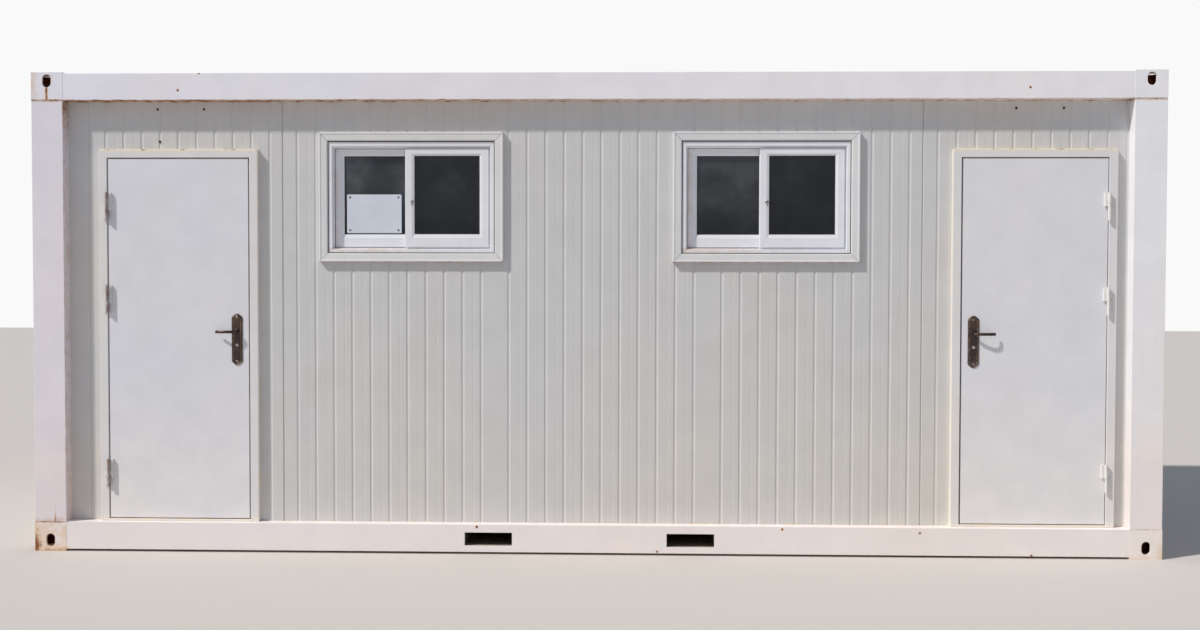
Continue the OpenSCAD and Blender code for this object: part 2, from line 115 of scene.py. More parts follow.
def light_the_yard():
    """A sun whose rays run right, back and down, a dim even sky, and a pale backdrop beyond it."""
    sun_data = bpy.data.lights.new("sun", "SUN")
    sun_data.energy = 3.0
    sun_data.angle = math.radians(2.5)
    sun_data.color = (1.0, 0.965, 0.91)
    sun = bpy.data.objects.new("sun", sun_data)
    sun.rotation_euler = Vector((0.59, 0.33, -0.736)).to_track_quat("-Z", "Y").to_euler()
    bpy.context.scene.collection.objects.link(sun)
    world = bpy.data.worlds.new("sky")
    world.use_nodes = True
    tree = world.node_tree
    tree.nodes.clear()
    sky = put(tree, "Background", {"Color": (0.73, 0.82, 1.0, 1.0), "Strength": 0.35})
    backdrop = put(tree, "Background", {"Color": (1.0, 1.0, 1.0, 1.0), "Strength": 0.95})
    seen = put(tree, "LightPath")
    straight = seen.outputs["Is Camera Ray"]
    mixed = put(tree, "MixShader", {0: straight, 1: sky.outputs[0], 2: backdrop.outputs[0]})
    put(tree, "OutputWorld", {"Surface": mixed.outputs[0]})
    bpy.context.scene.world = world
    bpy.context.scene.view_settings.view_transform = "Standard"


def lay_floor():
    """A flat square of pale concrete under the cabin."""
    reach = 30.0
    mesh = bpy.data.meshes.new("floor")
    corners = [(-reach, -reach, 0), (reach, -reach, 0), (reach, reach, 0), (-reach, reach, 0)]
    mesh.from_pydata(corners, [], [(0, 1, 2, 3)])
    material, _, shader = fresh_material("pale_floor")
    shader.inputs["Base Color"].default_value = tone(209, 203, 197)
    shader.inputs["Roughness"].default_value = 0.9
    mesh.materials.append(material)
    floor = bpy.data.objects.new("floor", mesh)
    bpy.context.scene.collection.objects.link(floor)


stand_camera()
light_the_yard()
lay_floor()

# Corner castings: hollow steel blocks that hooks and locks go into, welded to the posts
# and painted with them. Rust runs out of their slots and along the welds.
FRAME_COAT = (tone(243, 242, 251), tone(249, 248, 252))
LOW_COAT = (tone(250, 244, 246), tone(253, 247, 245))
# ROAD_DUST also serves, near the ground, as painted warm light bounced up from the floor.
ROAD_DUST = tone(250, 236, 224)
SLOT_IN = 0.085
TOP_SLOT_Z = HIGH.z - 0.046
LOW_SLOT_Z = 0.060
CASTING_WALL = 0.0125
TOP_WELD_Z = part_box("top_corner_castings")[0].z
FOOT_WELD_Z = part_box("bottom_corner_castings")[1].z
FOLD_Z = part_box("front_top_rail")[0].z


def shared_effect(name, takes, gives):
    """An empty shader group with those inputs and outputs, and its two end nodes."""
    tree = bpy.data.node_groups.new(name, "ShaderNodeTree")
    kinds = {"c": "NodeSocketColor", "f": "NodeSocketFloat"}
    for side, sockets in (("INPUT", takes), ("OUTPUT", gives)):
        for socket_name, kind in sockets:
            tree.interface.new_socket(socket_name, in_out=side, socket_type=kinds[kind])
    return tree, tree.nodes.new("NodeGroupInput"), tree.nodes.new("NodeGroupOutput")


def work(tree, operation, first, second=0.0, clamp=False):
    """One step of arithmetic."""
    return put(tree, "Math", {0: first, 1: second}, operation=operation, use_clamp=clamp).outputs[0]


def times(tree, *shares):
    """The product of several shares."""
    product = shares[0]
    for share in shares[1:]:
        product = work(tree, "MULTIPLY", product, share)
    return product


def most(tree, *shares):
    """The largest of several shares."""
    top = shares[0]
    for share in shares[1:]:
        top = work(tree, "MAXIMUM", top, share)
    return top


def ramp(tree, value, start, end, low=0.0, high=1.0):
    """Goes smoothly from low to high as value goes from start to end."""
    feeds = {"Value": value, "From Min": start, "From Max": end, "To Min": low, "To Max": high}
    return put(tree, "MapRange", feeds, interpolation_type="SMOOTHSTEP").outputs[0]


def near(tree, value, target, reach):
    """1 where value is at target, falling smoothly to 0 at reach on either side."""
    gap = work(tree, "ABSOLUTE", work(tree, "SUBTRACT", value, target))
    return ramp(tree, gap, 0.0, reach, 1.0, 0.0)


def tint(tree, share, under, over, way="MIX"):
    """Lays one colour over another by share."""
    mix = put(tree, "Mix", {0: share, 6: under, 7: over}, data_type="RGBA", blend_type=way)
    return mix.outputs[2]


def cloud(tree, place, scale, detail=4.0, rough=0.55):
    """Soft noise from 0 to 1."""
    feeds = {"Vector": place, "Scale": scale, "Detail": detail, "Roughness": rough}
    return put(tree, "TexNoise", feeds).outputs[0]


def add_relief(tree, shader, height, strength, distance):
    """Tilts the surface by height, as if it rose by up to distance."""
    bump = put(tree, "Bump", {"Height": height, "Strength": strength, "Distance": distance})
    tree.links.new(bump.outputs[0], shader.inputs["Normal"])


def make_weathered_coat():
    """Sprayed enamel outdoors: broad patches of dust, streaks that run down, warm splashes near the ground,
    partly road dust and partly painted warm light bounced up from the ground, and the coat's fine orange
    peel."""
    tree, given, result = shared_effect(
        "weathered_coat",
        [("Coat", "c"), ("Dust", "c"), ("Patches", "f"), ("Streaks", "f"), ("Splash_and_bounce", "f"), ("Peel", "f")],
        [("Color", "c"), ("Roughness", "f"), ("Height", "f")])
    place = put(tree, "TexCoord").outputs["Object"]
    height = put(tree, "SeparateXYZ", {0: place}).outputs["Z"]
    broad = cloud(tree, place, 0.8, 5.0)
    middle = cloud(tree, place, 6.0, 6.0)
    drawn_out = put(tree, "Mapping", {"Vector": place, "Scale": (1.0, 1.0, 0.05)}).outputs[0]
    runs = ramp(tree, cloud(tree, drawn_out, 24.0, 5.0), 0.52, 0.78)
    patches = times(tree, ramp(tree, broad, 0.38, 0.72), given.outputs["Patches"])
    streaks = times(tree, runs, broad, given.outputs["Streaks"])
    # Near the ground the coat turns to the dust tone: partly road dust, partly painted warm light bounced
    # up from the floor.
    low_down = times(tree, ramp(tree, height, 1.1, 0.05), work(tree, "ADD", middle, 0.2))
    splash_and_bounce = times(tree, low_down, given.outputs["Splash_and_bounce"])
    share = work(tree, "ADD", work(tree, "ADD", patches, streaks), splash_and_bounce, clamp=True)
    dusty = tint(tree, share, given.outputs["Coat"], given.outputs["Dust"])
    shade = ramp(tree, middle, 0.3, 0.7, 0.955, 1.0)
    grey = put(tree, "CombineColor", {0: shade, 1: shade, 2: shade}).outputs[0]
    peel = times(tree, cloud(tree, place, 380.0, 2.0), given.outputs["Peel"])
    gives = {
        "Color": tint(tree, 1.0, dusty, grey, "MULTIPLY"),
        "Roughness": work(tree, "ADD", times(tree, share, 0.25), ramp(tree, middle, 0.2, 0.8, 0.34, 0.46)),
        "Height": work(tree, "ADD", peel, times(tree, middle, 0.4)),
    }
    for key, socket in gives.items():
        tree.links.new(socket, result.inputs[key])
    return tree


def make_rust_bloom():
    """Rust where Near is high: a yellow stain that soaks outwards, then brown scale that lifts
    the coat, both broken up by noise."""
    tree, given, result = shared_effect(
        "rust_bloom",
        [("Color", "c"), ("Roughness", "f"), ("Height", "f"), ("Near", "f"), ("Stain", "c")],
        [("Color", "c"), ("Roughness", "f"), ("Height", "f")])
    place = put(tree, "TexCoord").outputs["Object"]
    coarse = cloud(tree, place, 21.0, 8.0, 0.68)
    fine = cloud(tree, place, 110.0, 6.0, 0.7)
    reach = work(tree, "ADD", given.outputs["Near"], times(tree, work(tree, "SUBTRACT", coarse, 0.5), 1.1))
    inside = times(tree, reach, ramp(tree, given.outputs["Near"], 0.0, 0.12))
    stain = ramp(tree, inside, 0.30, 0.85, 0.0, 0.62)
    scale = ramp(tree, inside, 0.72, 1.0)
    rust = tint(tree, ramp(tree, fine, 0.35, 0.65), tone(92, 52, 32), tone(176, 108, 58))
    stained = tint(tree, stain, given.outputs["Color"], given.outputs["Stain"])
    gives = {
        "Color": tint(tree, scale, stained, rust),
        "Roughness": work(tree, "MAXIMUM", given.outputs["Roughness"], times(tree, scale, 0.85)),
        "Height": work(tree, "ADD", given.outputs["Height"], times(tree, fine, scale, 2.0)),
    }
    for key, socket in gives.items():
        tree.links.new(socket, result.inputs[key])
    return tree


WEATHERED_COAT = make_weathered_coat()
RUST_BLOOM = make_rust_bloom()


def painted_steel(name, coat, dust=ROAD_DUST, patches=0.25, streaks=0.25, splash_and_bounce=0.3, peel=0.35, rusty=None,
                  stain=tone(224, 190, 142)):
    """Enamel on steel. A coat given as two tones goes from one at the cabin's left end to the other
    at its right. rusty, where given, is a function that returns how close a point is to rust."""
    material, tree, shader = fresh_material(name)
    x, y, z = put(tree, "SeparateXYZ", {0: put(tree, "TexCoord").outputs["Object"]}).outputs
    if len(coat) == 2:
        coat = tint(tree, ramp(tree, x, -3.0, 3.0), *coat)
    weather = {"Dust": dust, "Patches": patches, "Streaks": streaks, "Splash_and_bounce": splash_and_bounce, "Peel": peel}
    surface = put(tree, "Group", {"Coat": coat, **weather}, node_tree=WEATHERED_COAT)
    if rusty:
        bloom = put(tree, "Group", {"Stain": stain}, node_tree=RUST_BLOOM)
        for key in ("Color", "Roughness", "Height"):
            tree.links.new(surface.outputs[key], bloom.inputs[key])
        tree.links.new(rusty(tree, x, y, z), bloom.inputs["Near"])
        surface = bloom
    tree.links.new(surface.outputs["Color"], shader.inputs["Base Color"])
    tree.links.new(surface.outputs["Roughness"], shader.inputs["Roughness"])
    add_relief(tree, shader, surface.outputs["Height"], 0.25, 0.002)
    shader.inputs["Specular IOR Level"].default_value = 0.4
    return material


def distance(tree, aside, up):
    """How far apart two points are, from their steps aside and up: the root of the squares' sum."""
    return work(tree, "SQRT", work(tree, "ADD", times(tree, aside, aside), times(tree, up, up)))


def spot(tree, x, z, at, reach):
    """A round spot on the front, given by its place (x, z) and its reach."""
    far = distance(tree, work(tree, "SUBTRACT", x, at[0]), work(tree, "SUBTRACT", z, at[1]))
    return ramp(tree, far, reach * 0.3, reach, 1.0, 0.0)


def rust_on_castings(tree, x, y, z):
    """Round the slots, in the run under each upper slot, along the welds and the left end's
    lower edge, and all over the hollow inside, which was never painted."""
    out_x, out_y = work(tree, "ABSOLUTE", x), work(tree, "ABSOLUTE", y)
    aside = work(tree, "SUBTRACT", out_x, HIGH.x - SLOT_IN)
    left_more = ramp(tree, x, -3.0, 3.0, 1.0, 0.55)
    rings = []
    for slot_z, strength in ((TOP_SLOT_Z, 0.50), (LOW_SLOT_Z, 0.66)):
        up = times(tree, work(tree, "SUBTRACT", z, slot_z), 0.7)
        rings.append(ramp(tree, distance(tree, aside, up), 0.022, 0.060, strength, 0.0))
    under_slot = ramp(tree, z, TOP_SLOT_Z - 0.02, TOP_SLOT_Z - 0.04)
    over_post = ramp(tree, z, FOLD_Z - 0.010, FOLD_Z)
    run = times(tree, under_slot, near(tree, aside, 0.0, 0.022), over_post, left_more)
    weld = times(tree, near(tree, z, TOP_WELD_Z, 0.012), 0.85)
    foot_weld = times(tree, near(tree, z, FOOT_WELD_Z, 0.016), 0.80)
    end_edge = times(tree, near(tree, out_x, HIGH.x, 0.105), ramp(tree, z, 0.17, 0.02, 0.62, 1.05))
    foot = ramp(tree, z, 0.075, 0.0, 0.0, 0.82)
    soaked = times(tree, ramp(tree, x, -2.70, -2.88), ramp(tree, z, 0.170, 0.140, 0.0, 0.58))
    rust = most(tree, *rings, run, weld, foot_weld, end_edge, foot, soaked)
    faces = ((out_x, HIGH.x, -1), (out_y, HIGH.y, -1), (z, HIGH.z, -1), (z, 0.0, 1))
    depths = [(place, face + inward * CASTING_WALL, inward * 0.001) for place, face, inward in faces]
    hollow = times(tree, *[ramp(tree, place, back - half, back + half) for place, back, half in depths])
    return most(tree, times(tree, rust, left_more), times(tree, hollow, 2.0))


CASTING_PAINT = painted_steel("casting_paint", FRAME_COAT, patches=0.2, rusty=rust_on_castings)
FOOT_PAINT = painted_steel("foot_casting_paint", LOW_COAT, tone(248, 232, 216), splash_and_bounce=0.4,
                           rusty=rust_on_castings, stain=tone(230, 184, 124))
END_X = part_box("front_top_rail")[1].x
SIDE_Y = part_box("end_top_rails")[1].y
BODY_OF = {node: body for body, nodes in frame["record"]["behaviour"]["bodies"].items() for node in nodes}


def keep(name, mesh, body, slot, material, *stands_for):
    """Places a finished mesh as a piece that rides on a body and stands for CAD nodes."""
    piece = bpy.data.objects.new(name, mesh)
    bpy.context.scene.collection.objects.link(piece)
    mesh.materials.clear()
    mesh.materials.append(material)
    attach(piece, body)
    if stands_for:
        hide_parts(*stands_for)
    return piece


def at_a_seam(middle):
    """True for an edge that is ground flush where a rail is welded to a casting."""
    return min(abs(abs(middle.x) - END_X), abs(abs(middle.y) - SIDE_Y)) < 1e-3


def softened(node, slot, material, radius, segments=2, square=lambda middle: False):
    """A copy of a node with its loose triangles joined, flat faces made whole and its edges
    rounded to radius, as folded or cast steel has them, but for those where square is true."""
    mesh = frame["nodes"][node].data.copy()
    shape = bmesh.new()
    shape.from_mesh(mesh)
    bmesh.ops.remove_doubles(shape, verts=shape.verts, dist=1e-5)
    bmesh.ops.dissolve_limit(shape, angle_limit=math.radians(0.5), verts=shape.verts, edges=shape.edges)
    rounding = shape.edges.layers.float.new("bevel_weight_edge")
    for edge in shape.edges:
        sharp = edge.is_manifold and edge.calc_face_angle() > math.radians(40)
        flush = square((edge.verts[0].co + edge.verts[1].co) / 2)
        edge[rounding] = float(sharp and not flush)
        edge.smooth = not (sharp and flush)
    shape.to_mesh(mesh)
    shape.free()
    mesh.name = node + "_steel"
    mesh.shade_smooth()
    piece = keep(node + "_finished", mesh, BODY_OF[node], slot, material, node)
    edges = piece.modifiers.new("rounded", "BEVEL")
    edges.width = radius
    edges.segments = segments
    edges.limit_method = "WEIGHT"
    shading = piece.modifiers.new("flat_faces", "WEIGHTED_NORMAL")
    shading.weight = 70
    shading.keep_sharp = True
    return piece


softened("top_corner_castings", "frame_paint", CASTING_PAINT, 0.004, 3, at_a_seam)
softened("bottom_corner_castings", "frame_paint", FOOT_PAINT, 0.004, 3, at_a_seam)

# Posts and top rails: folded sheet steel, welded between the castings and sprayed with them.
# Rust creeps along the fold over the walls and is darkened there as painted shade of the rail's underside.
# Painted shade darkens the left post's inner face. The post feet are splashed and scratched, and warmed
# with painted light bounced up from the ground.


def rust_and_shade_on_frame(tree, x, y, z):
    """Along the top rails' lower fold, darkened as painted shade of the rail's underside, in chips on the
    rail, at both ends of the posts, and down the left post's inner face as painted shade with rust near the
    top.
    """
    # Rust along the lower fold, in the darker stain that also paints the shade under the top rail.
    fold = times(tree, near(tree, z, FOLD_Z - 0.001, 0.010), ramp(tree, x, -3.0, 3.0, 0.90, 0.62))
    by_post = ramp(tree, work(tree, "ABSOLUTE", x), 2.60, 2.90)
    corner = times(tree, near(tree, z, FOLD_Z - 0.002, 0.020), by_post, 0.80)
    foot = times(tree, ramp(tree, z, 0.22, FOOT_WELD_Z, 0.0, 0.62), by_post,
                 ramp(tree, x, -3.0, 3.0, 1.0, 0.7))
    run = times(tree, near(tree, x, -2.917, 0.010), ramp(tree, z, 0.34, 0.17, 0.0, 0.85))
    chips = [spot(tree, x, z, at, 0.012) for at in ((-2.230, 2.493), (-2.115, 2.584), (2.31, 2.50))]
    under_rail = ramp(tree, z, FOLD_Z + 0.003, FOLD_Z)
    higher = ramp(tree, z, FOLD_Z - 0.25, FOLD_Z - 0.01, 0.50, 0.84)
    # Painted shade on the left post's inner face, which faces away from the sun, with rust near the top.
    inner = times(tree, near(tree, x, -END_X, 0.011), higher, under_rail)
    return most(tree, fold, corner, foot, run, inner, *chips)


# A darker stain, so that the fold line also reads as painted shade under the top rail.
FRAME_STAIN_AND_SHADE = tone(198, 158, 126)
FRAME_PAINT = painted_steel("frame_paint", FRAME_COAT, tone(250, 231, 222), patches=0.2, streaks=0.35,
                            splash_and_bounce=0.55, rusty=rust_and_shade_on_frame, stain=FRAME_STAIN_AND_SHADE)
POST_COAT = (tone(237, 233, 242), tone(248, 248, 251))
POST_PAINT = painted_steel("post_paint", POST_COAT, tone(250, 228, 218), patches=0.2, streaks=0.35,
                           splash_and_bounce=0.6, rusty=rust_and_shade_on_frame, stain=FRAME_STAIN_AND_SHADE)
softened("corner_posts", "frame_paint", POST_PAINT, 0.006, 3)
for steel in ("front_top_rail", "rear_top_rail", "end_top_rails"):
    softened(steel, "frame_paint", FRAME_PAINT, 0.005, 3, at_a_seam)

# Weld beads: each post is welded all round to the casting above and below it. The beads
# were never ground, and they rust first, so they show as wavering brown lines.


def bead_round(corner_x, corner_y, joint_z, width, depth):
    """A rippled bead along the rectangle between a post and a casting. Its path is the outline
    drawn in by 2.6 mm with 6 mm corners; its section is a circle whose radius swells and whose
    height wanders along the path as sums of sines."""
    half_x, half_y, curve = width / 2 - 0.0026, depth / 2 - 0.0026, 0.006
    turn = np.linspace(0, math.pi / 2, 7)
    path = []
    for quarter, (sign_x, sign_y) in enumerate(((1, 1), (-1, 1), (-1, -1), (1, -1))):
        angle = turn + quarter * math.pi / 2
        centre = np.array([sign_x * (half_x - curve), sign_y * (half_y - curve)])
        path.append(centre + curve * np.stack([np.cos(angle), np.sin(angle)], axis=-1))
    path = np.concatenate(path + [path[0][:1]])
    run = np.concatenate([[0], np.cumsum(np.linalg.norm(np.diff(path, axis=0), axis=1))])
    at = np.linspace(0, run[-1], 320, endpoint=False)
    path = np.stack([np.interp(at, run, path[:, i]) for i in (0, 1)], axis=-1)
    along = np.roll(path, -1, axis=0) - np.roll(path, 1, axis=0)
    along /= np.linalg.norm(along, axis=1, keepdims=True)
    outward = np.stack([along[:, 1], -along[:, 0]], axis=-1)
    swell = 0.0029 + 0.0003 * np.sin(at * 1700) + 0.0002 * np.sin(at * 390 + joint_z)
    drift = 0.0014 * np.sin(at * 61 + corner_x) + 0.0010 * np.sin(at * 143)
    angle = np.linspace(0, 2 * math.pi, 10, endpoint=False)
    spread = (swell[:, None] * np.cos(angle))[..., None]
    flat = path[:, None] + outward[:, None] * spread + [corner_x, corner_y]
    lift = joint_z + drift[:, None] + swell[:, None] * np.sin(angle) * 1.2
    rings = np.concatenate([flat, lift[..., None]], axis=-1)
    return tapered(np.concatenate([rings, rings[:1]]), close_ends=False)


def tapered(rings, close_ends=True):
    """Faces of a surface made of rings with the same number of points: each ring is joined to
    the next, and the first and last are filled."""
    count, around = rings.shape[:2]
    index = np.arange(count * around).reshape(count, around)
    after = np.roll(index, -1, axis=1)
    walls = np.stack([index[:-1], after[:-1], after[1:], index[1:]], axis=-1).reshape(-1, 4).tolist()
    ends = [index[0, ::-1].tolist(), index[-1].tolist()] if close_ends else []
    return rings.reshape(-1, 3), walls + ends


def joined_mesh(name, parts, crease=35):
    """One mesh of several closed surfaces, each given as its points and faces. It is shaded
    smoothly but at edges that turn by more than crease degrees."""
    points, faces, start = [], [], 0
    for part_points, part_faces in parts:
        points.append(part_points)
        faces += [[start + corner for corner in face] for face in part_faces]
        start += len(part_points)
    mesh = bpy.data.meshes.new(name)
    mesh.from_pydata(np.concatenate(points).tolist(), [], faces)
    shape = bmesh.new()
    shape.from_mesh(mesh)
    bmesh.ops.remove_doubles(shape, verts=shape.verts, dist=1e-7)
    bmesh.ops.recalc_face_normals(shape, faces=shape.faces)
    shape.to_mesh(mesh)
    shape.free()
    mesh.shade_smooth()
    mesh.set_sharp_from_angle(angle=math.radians(crease))
    return mesh


def make_scale():
    """Rust scale over weld metal: dark brown, orange where it is fresh, with no coat left."""
    material, tree, shader = fresh_material("weld_scale")
    place = put(tree, "TexCoord").outputs["Object"]
    fresh = ramp(tree, cloud(tree, place, 70.0, 6.0, 0.7), 0.42, 0.68)
    tree.links.new(tint(tree, fresh, tone(74, 50, 40), tone(158, 104, 66)), shader.inputs["Base Color"])
    shader.inputs["Roughness"].default_value = 0.88
    add_relief(tree, shader, cloud(tree, place, 420.0, 3.0), 0.4, 0.0008)
    return material


post_low, post_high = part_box("corner_posts")
post_wide = post_high.x - END_X
post_deep = post_high.y - SIDE_Y
beads = []
for joint in (post_low.z, post_high.z):
    for sign_x in (-1, 1):
        for sign_y in (-1, 1):
            centre = (sign_x * (post_high.x - post_wide / 2), sign_y * (post_high.y - post_deep / 2))
            beads.append(bead_round(*centre, joint, post_wide, post_deep))
keep("weld_beads", joined_mesh("post_beads", beads), "cabin", None, make_scale())

# Bottom rails: heavier folded channels with the forklift pockets cut through them. They take
# the mud and knocks, so their coat is warm with dust and chipped to rust along the edges.


def rust_on_bottom_rails(tree, x, y, z):
    """Along the lower edge, in a few chips, at the ends and in the upper fold."""
    edge = ramp(tree, z, 0.024, 0.012, 0.0, 0.45)
    ends = times(tree, ramp(tree, work(tree, "ABSOLUTE", x), 2.66, 2.90, 0.0, 0.50),
                ramp(tree, z, 0.12, 0.02))
    spots = ((1.751, 0.132), (2.342, 0.016), (-0.62, 0.148), (0.35, 0.022), (1.02, 0.147))
    chips = [spot(tree, x, z, at, 0.013) for at in spots]
    fold = times(tree, near(tree, work(tree, "ABSOLUTE", y), HIGH.y - 0.075, 0.012),
                ramp(tree, z, 0.150, 0.158, 0.0, 0.62))
    return most(tree, edge, ends, fold, *chips)


RAIL_PAINT = painted_steel("rail_paint", LOW_COAT, tone(248, 232, 222), patches=0.25, streaks=0.15,
                           splash_and_bounce=0.3, rusty=rust_on_bottom_rails)
for steel in ("front_bottom_rail", "rear_bottom_rail", "end_bottom_rails"):
    softened(steel, "rail_paint", RAIL_PAINT, 0.005, 3, at_a_seam)

# Under-floor steel: joists and the tubes of the forklift pockets in grey primer, dull with dust.
PRIMER = painted_steel("grey_primer", tone(96, 94, 92), tone(150, 138, 120), patches=0.6, splash_and_bounce=0.8,
                       rusty=lambda tree, x, y, z: ramp(tree, z, 0.06, 0.04, 0.1, 0.5))
for steel in ("floor_joists", "fork_sleeves", "roof_beams"):
    softened(steel, "bare_steel", PRIMER, 0.003)

# Wall panels: foam boards faced with coated sheet, 1150 mm wide, rolled with a groove every
# 100 mm and a faint crease beside it. They push together edge to edge and slide into the frame.
PANEL_WIDTH = 1.150
PANEL_SHIFT = 0.041
GROOVE_PITCH = 0.100
FIRST_GROOVE = 0.080
CREASE_AFTER = 0.058
WALL_DEPTH = 0.050
UPPER_FIXINGS = ((-2.366, 2.400), (-2.112, 2.400), (2.258, 2.400), (2.509, 2.400))


def groove_line(low, high, shift):
    """Where the sheet's bends lie along a wall from low to high, and how deep each is. Every joint,
    groove and crease adds the same few offsets and depths round its centre, sorted by place."""
    first = math.floor((low - shift) / PANEL_WIDTH) - 1
    joints = shift + PANEL_WIDTH * (np.arange(first, first + 9) + 0.5)
    grooves = (joints[:, None] + FIRST_GROOVE + GROOVE_PITCH * np.arange(11)).ravel()
    creases = grooves + CREASE_AFTER
    creases = creases[(np.abs(creases[:, None] - joints).min(axis=1)) > 0.02]
    joints = joints[(joints > low + 0.04) & (joints < high - 0.04)]
    kinds = [
        (joints, [-0.0050, -0.0014, 0.0014, 0.0050], [0.0, 0.0060, 0.0060, 0.0]),
        (grooves, [-0.0090, -0.0028, 0.0028, 0.0090], [0.0, 0.0029, 0.0029, 0.0]),
        (creases, [-0.0060, 0.0, 0.0060], [0.0, 0.0005, 0.0]),
    ]
    places = np.concatenate([(centres[:, None] + offsets).ravel() for centres, offsets, _ in kinds])
    depths = np.concatenate([np.tile(steps, len(centres)) for centres, _, steps in kinds])
    order = np.argsort(places)
    places, depths = places[order], depths[order]
    inside = (places > low + 1e-4) & (places < high - 1e-4)
    ends = np.interp([low, high], places, depths)
    return (np.concatenate([[low], places[inside], [high]]),
            np.concatenate([[ends[0]], depths[inside], [ends[1]]]))


def board(name, along, depths, levels, solid, thick, to_frame):
    """A closed board on a grid of places along it and levels up it: its outer face sinks by
    depths, its inner face lies thick behind, and the two are joined wherever a cell that is
    solid meets one that isn't. to_frame turns (along, depth, up) into the row frame."""
    count, rows = len(along), len(levels)
    u, z = np.meshgrid(along, levels, indexing="ij")
    outer = np.stack([u, np.repeat(depths[:, None], rows, axis=1), z], axis=-1).reshape(-1, 3)
    inner = np.stack([u, np.full_like(u, thick), z], axis=-1).reshape(-1, 3)
    points = to_frame(np.concatenate([outer, inner]))
    index = np.arange(count * rows).reshape(count, rows)
    behind = index + count * rows
    cells = np.stack([index[:-1, :-1], index[1:, :-1], index[1:, 1:], index[:-1, 1:]], axis=-1)[solid]
    beyond = np.pad(solid, ((1, 1), (0, 0)))
    upright = beyond[1:] != beyond[:-1]
    jambs = np.stack([index[:, :-1], index[:, 1:], behind[:, 1:], behind[:, :-1]], axis=-1)[upright]
    beyond = np.pad(solid, ((0, 0), (1, 1)))
    level = beyond[:, 1:] != beyond[:, :-1]
    sills = np.stack([index[:-1], index[1:], behind[1:], behind[:-1]], axis=-1)[level]
    faces = np.concatenate([cells, cells[:, ::-1] + count * rows, jambs, sills])
    return closed_mesh(name, points, faces)


def closed_mesh(name, points, faces):
    """A mesh from points and faces, its loose points dropped and its faces turned outwards."""
    mesh = bpy.data.meshes.new(name)
    mesh.from_pydata(points.tolist(), [], faces.tolist())
    shape = bmesh.new()
    shape.from_mesh(mesh)
    bmesh.ops.delete(shape, geom=[v for v in shape.verts if not v.link_faces], context="VERTS")
    bmesh.ops.recalc_face_normals(shape, faces=shape.faces)
    shape.to_mesh(mesh)
    shape.free()
    return mesh


def rust_and_shade_on_walls(tree, x, y, z):
    """A thin brown line where the boards meet the bottom rail, rust and painted shade just under the top
    rail, and a drip under each upper fixing."""
    foot = ramp(tree, z, 0.180, 0.159, 0.0, 0.50)
    # Rust and painted shade in a line just under the top rail.
    head = times(tree, near(tree, z, FOLD_Z, 0.012), 0.85)
    drips = [times(tree, spot(tree, x, z, (at_x, at_z - 0.008), 0.016), 0.6)
             for at_x, at_z in UPPER_FIXINGS]
    return most(tree, foot, head, *drips)


PANEL_PAINT = painted_steel("panel_paint", tone(214, 214, 215), tone(222, 214, 200), patches=0.3,
                            streaks=0.3, splash_and_bounce=0.35, peel=0.2, rusty=rust_and_shade_on_walls)


def hang_board(node, window_boxes=()):
    """The grooved board that stands for one wall node, cut out round the windows' frames. Its outer
    face is the one further from the cabin's middle."""
    low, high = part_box(node)
    crosswise = high.x - low.x > high.y - low.y
    start, end = (low.x, high.x) if crosswise else (low.y, high.y)
    middle = (low + high) / 2
    side = math.copysign(1.0, middle.y if crosswise else middle.x)
    face = side * max(abs(low.y), abs(high.y)) if crosswise else side * max(abs(low.x), abs(high.x))
    along, depths = groove_line(start, end, PANEL_SHIFT if crosswise else 0.0)
    levels = [low.z, high.z]
    holes = []
    for hole_low, hole_high in window_boxes:
        if hole_high.x > start and hole_low.x < end:
            cuts = np.clip([hole_low.x, hole_high.x], start, end)
            depths = np.interp(np.union1d(along, cuts), along, depths)
            along = np.union1d(along, cuts)
            levels += [hole_low.z, hole_high.z]
            holes.append((cuts, (hole_low.z, hole_high.z)))
    levels = np.unique(np.round(levels, 6))
    mid_u = (along[1:] + along[:-1]) / 2
    mid_z = (levels[1:] + levels[:-1]) / 2
    solid = np.ones((len(mid_u), len(mid_z)), bool)
    for cuts, (bottom, top) in holes:
        in_u = (mid_u > cuts[0]) & (mid_u < cuts[1])
        in_z = (mid_z > bottom) & (mid_z < top)
        solid &= ~(in_u[:, None] & in_z[None, :])

    def to_frame(points):
        u, depth, z = points.T
        out = face - side * depth
        return np.stack([u, out, z] if crosswise else [out, u, z], axis=-1)

    mesh = board(node + "_board", along, depths, levels, solid, WALL_DEPTH, to_frame)
    keep(node + "_boards", mesh, BODY_OF[node], "wall_paint", PANEL_PAINT, node)


WINDOW_BOXES = [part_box(side + "_window_frame") for side in ("left", "right")]
for wall in frame["nodes"]:
    if wall.startswith("front_wall") or wall in ("rear_wall", "left_wall", "right_wall"):
        hang_board(wall, WINDOW_BOXES if wall.startswith("front_wall") else ())

# Door frames: folded steel, rebated for the leaf and standing proud of the wall. Water that
# sits on the head and runs down the outer edges has turned them yellow with rust, and the pale cream
# there is also a painted highlight.
DOOR_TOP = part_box("left_door_frame")[1].z


def rust_and_highlight_on_door_frames(tree, x, y, z):
    """On top of the head and down the outer edges, in a cream that is yellow rust and painted highlight,
    and at the feet.
    """
    # Cream along the head and down the outer edges: yellow rust and a painted highlight where the sun
    # catches them.
    head = times(tree, near(tree, z, DOOR_TOP, 0.034), 0.76)
    edges = []
    for side in ("left", "right"):
        low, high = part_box(side + "_door_frame")
        edges += [times(tree, near(tree, x, edge, 0.006), 0.55) for edge in (low.x, high.x)]
    foot = ramp(tree, z, 0.24, 0.160, 0.0, 0.55)
    return most(tree, head, *edges, foot)


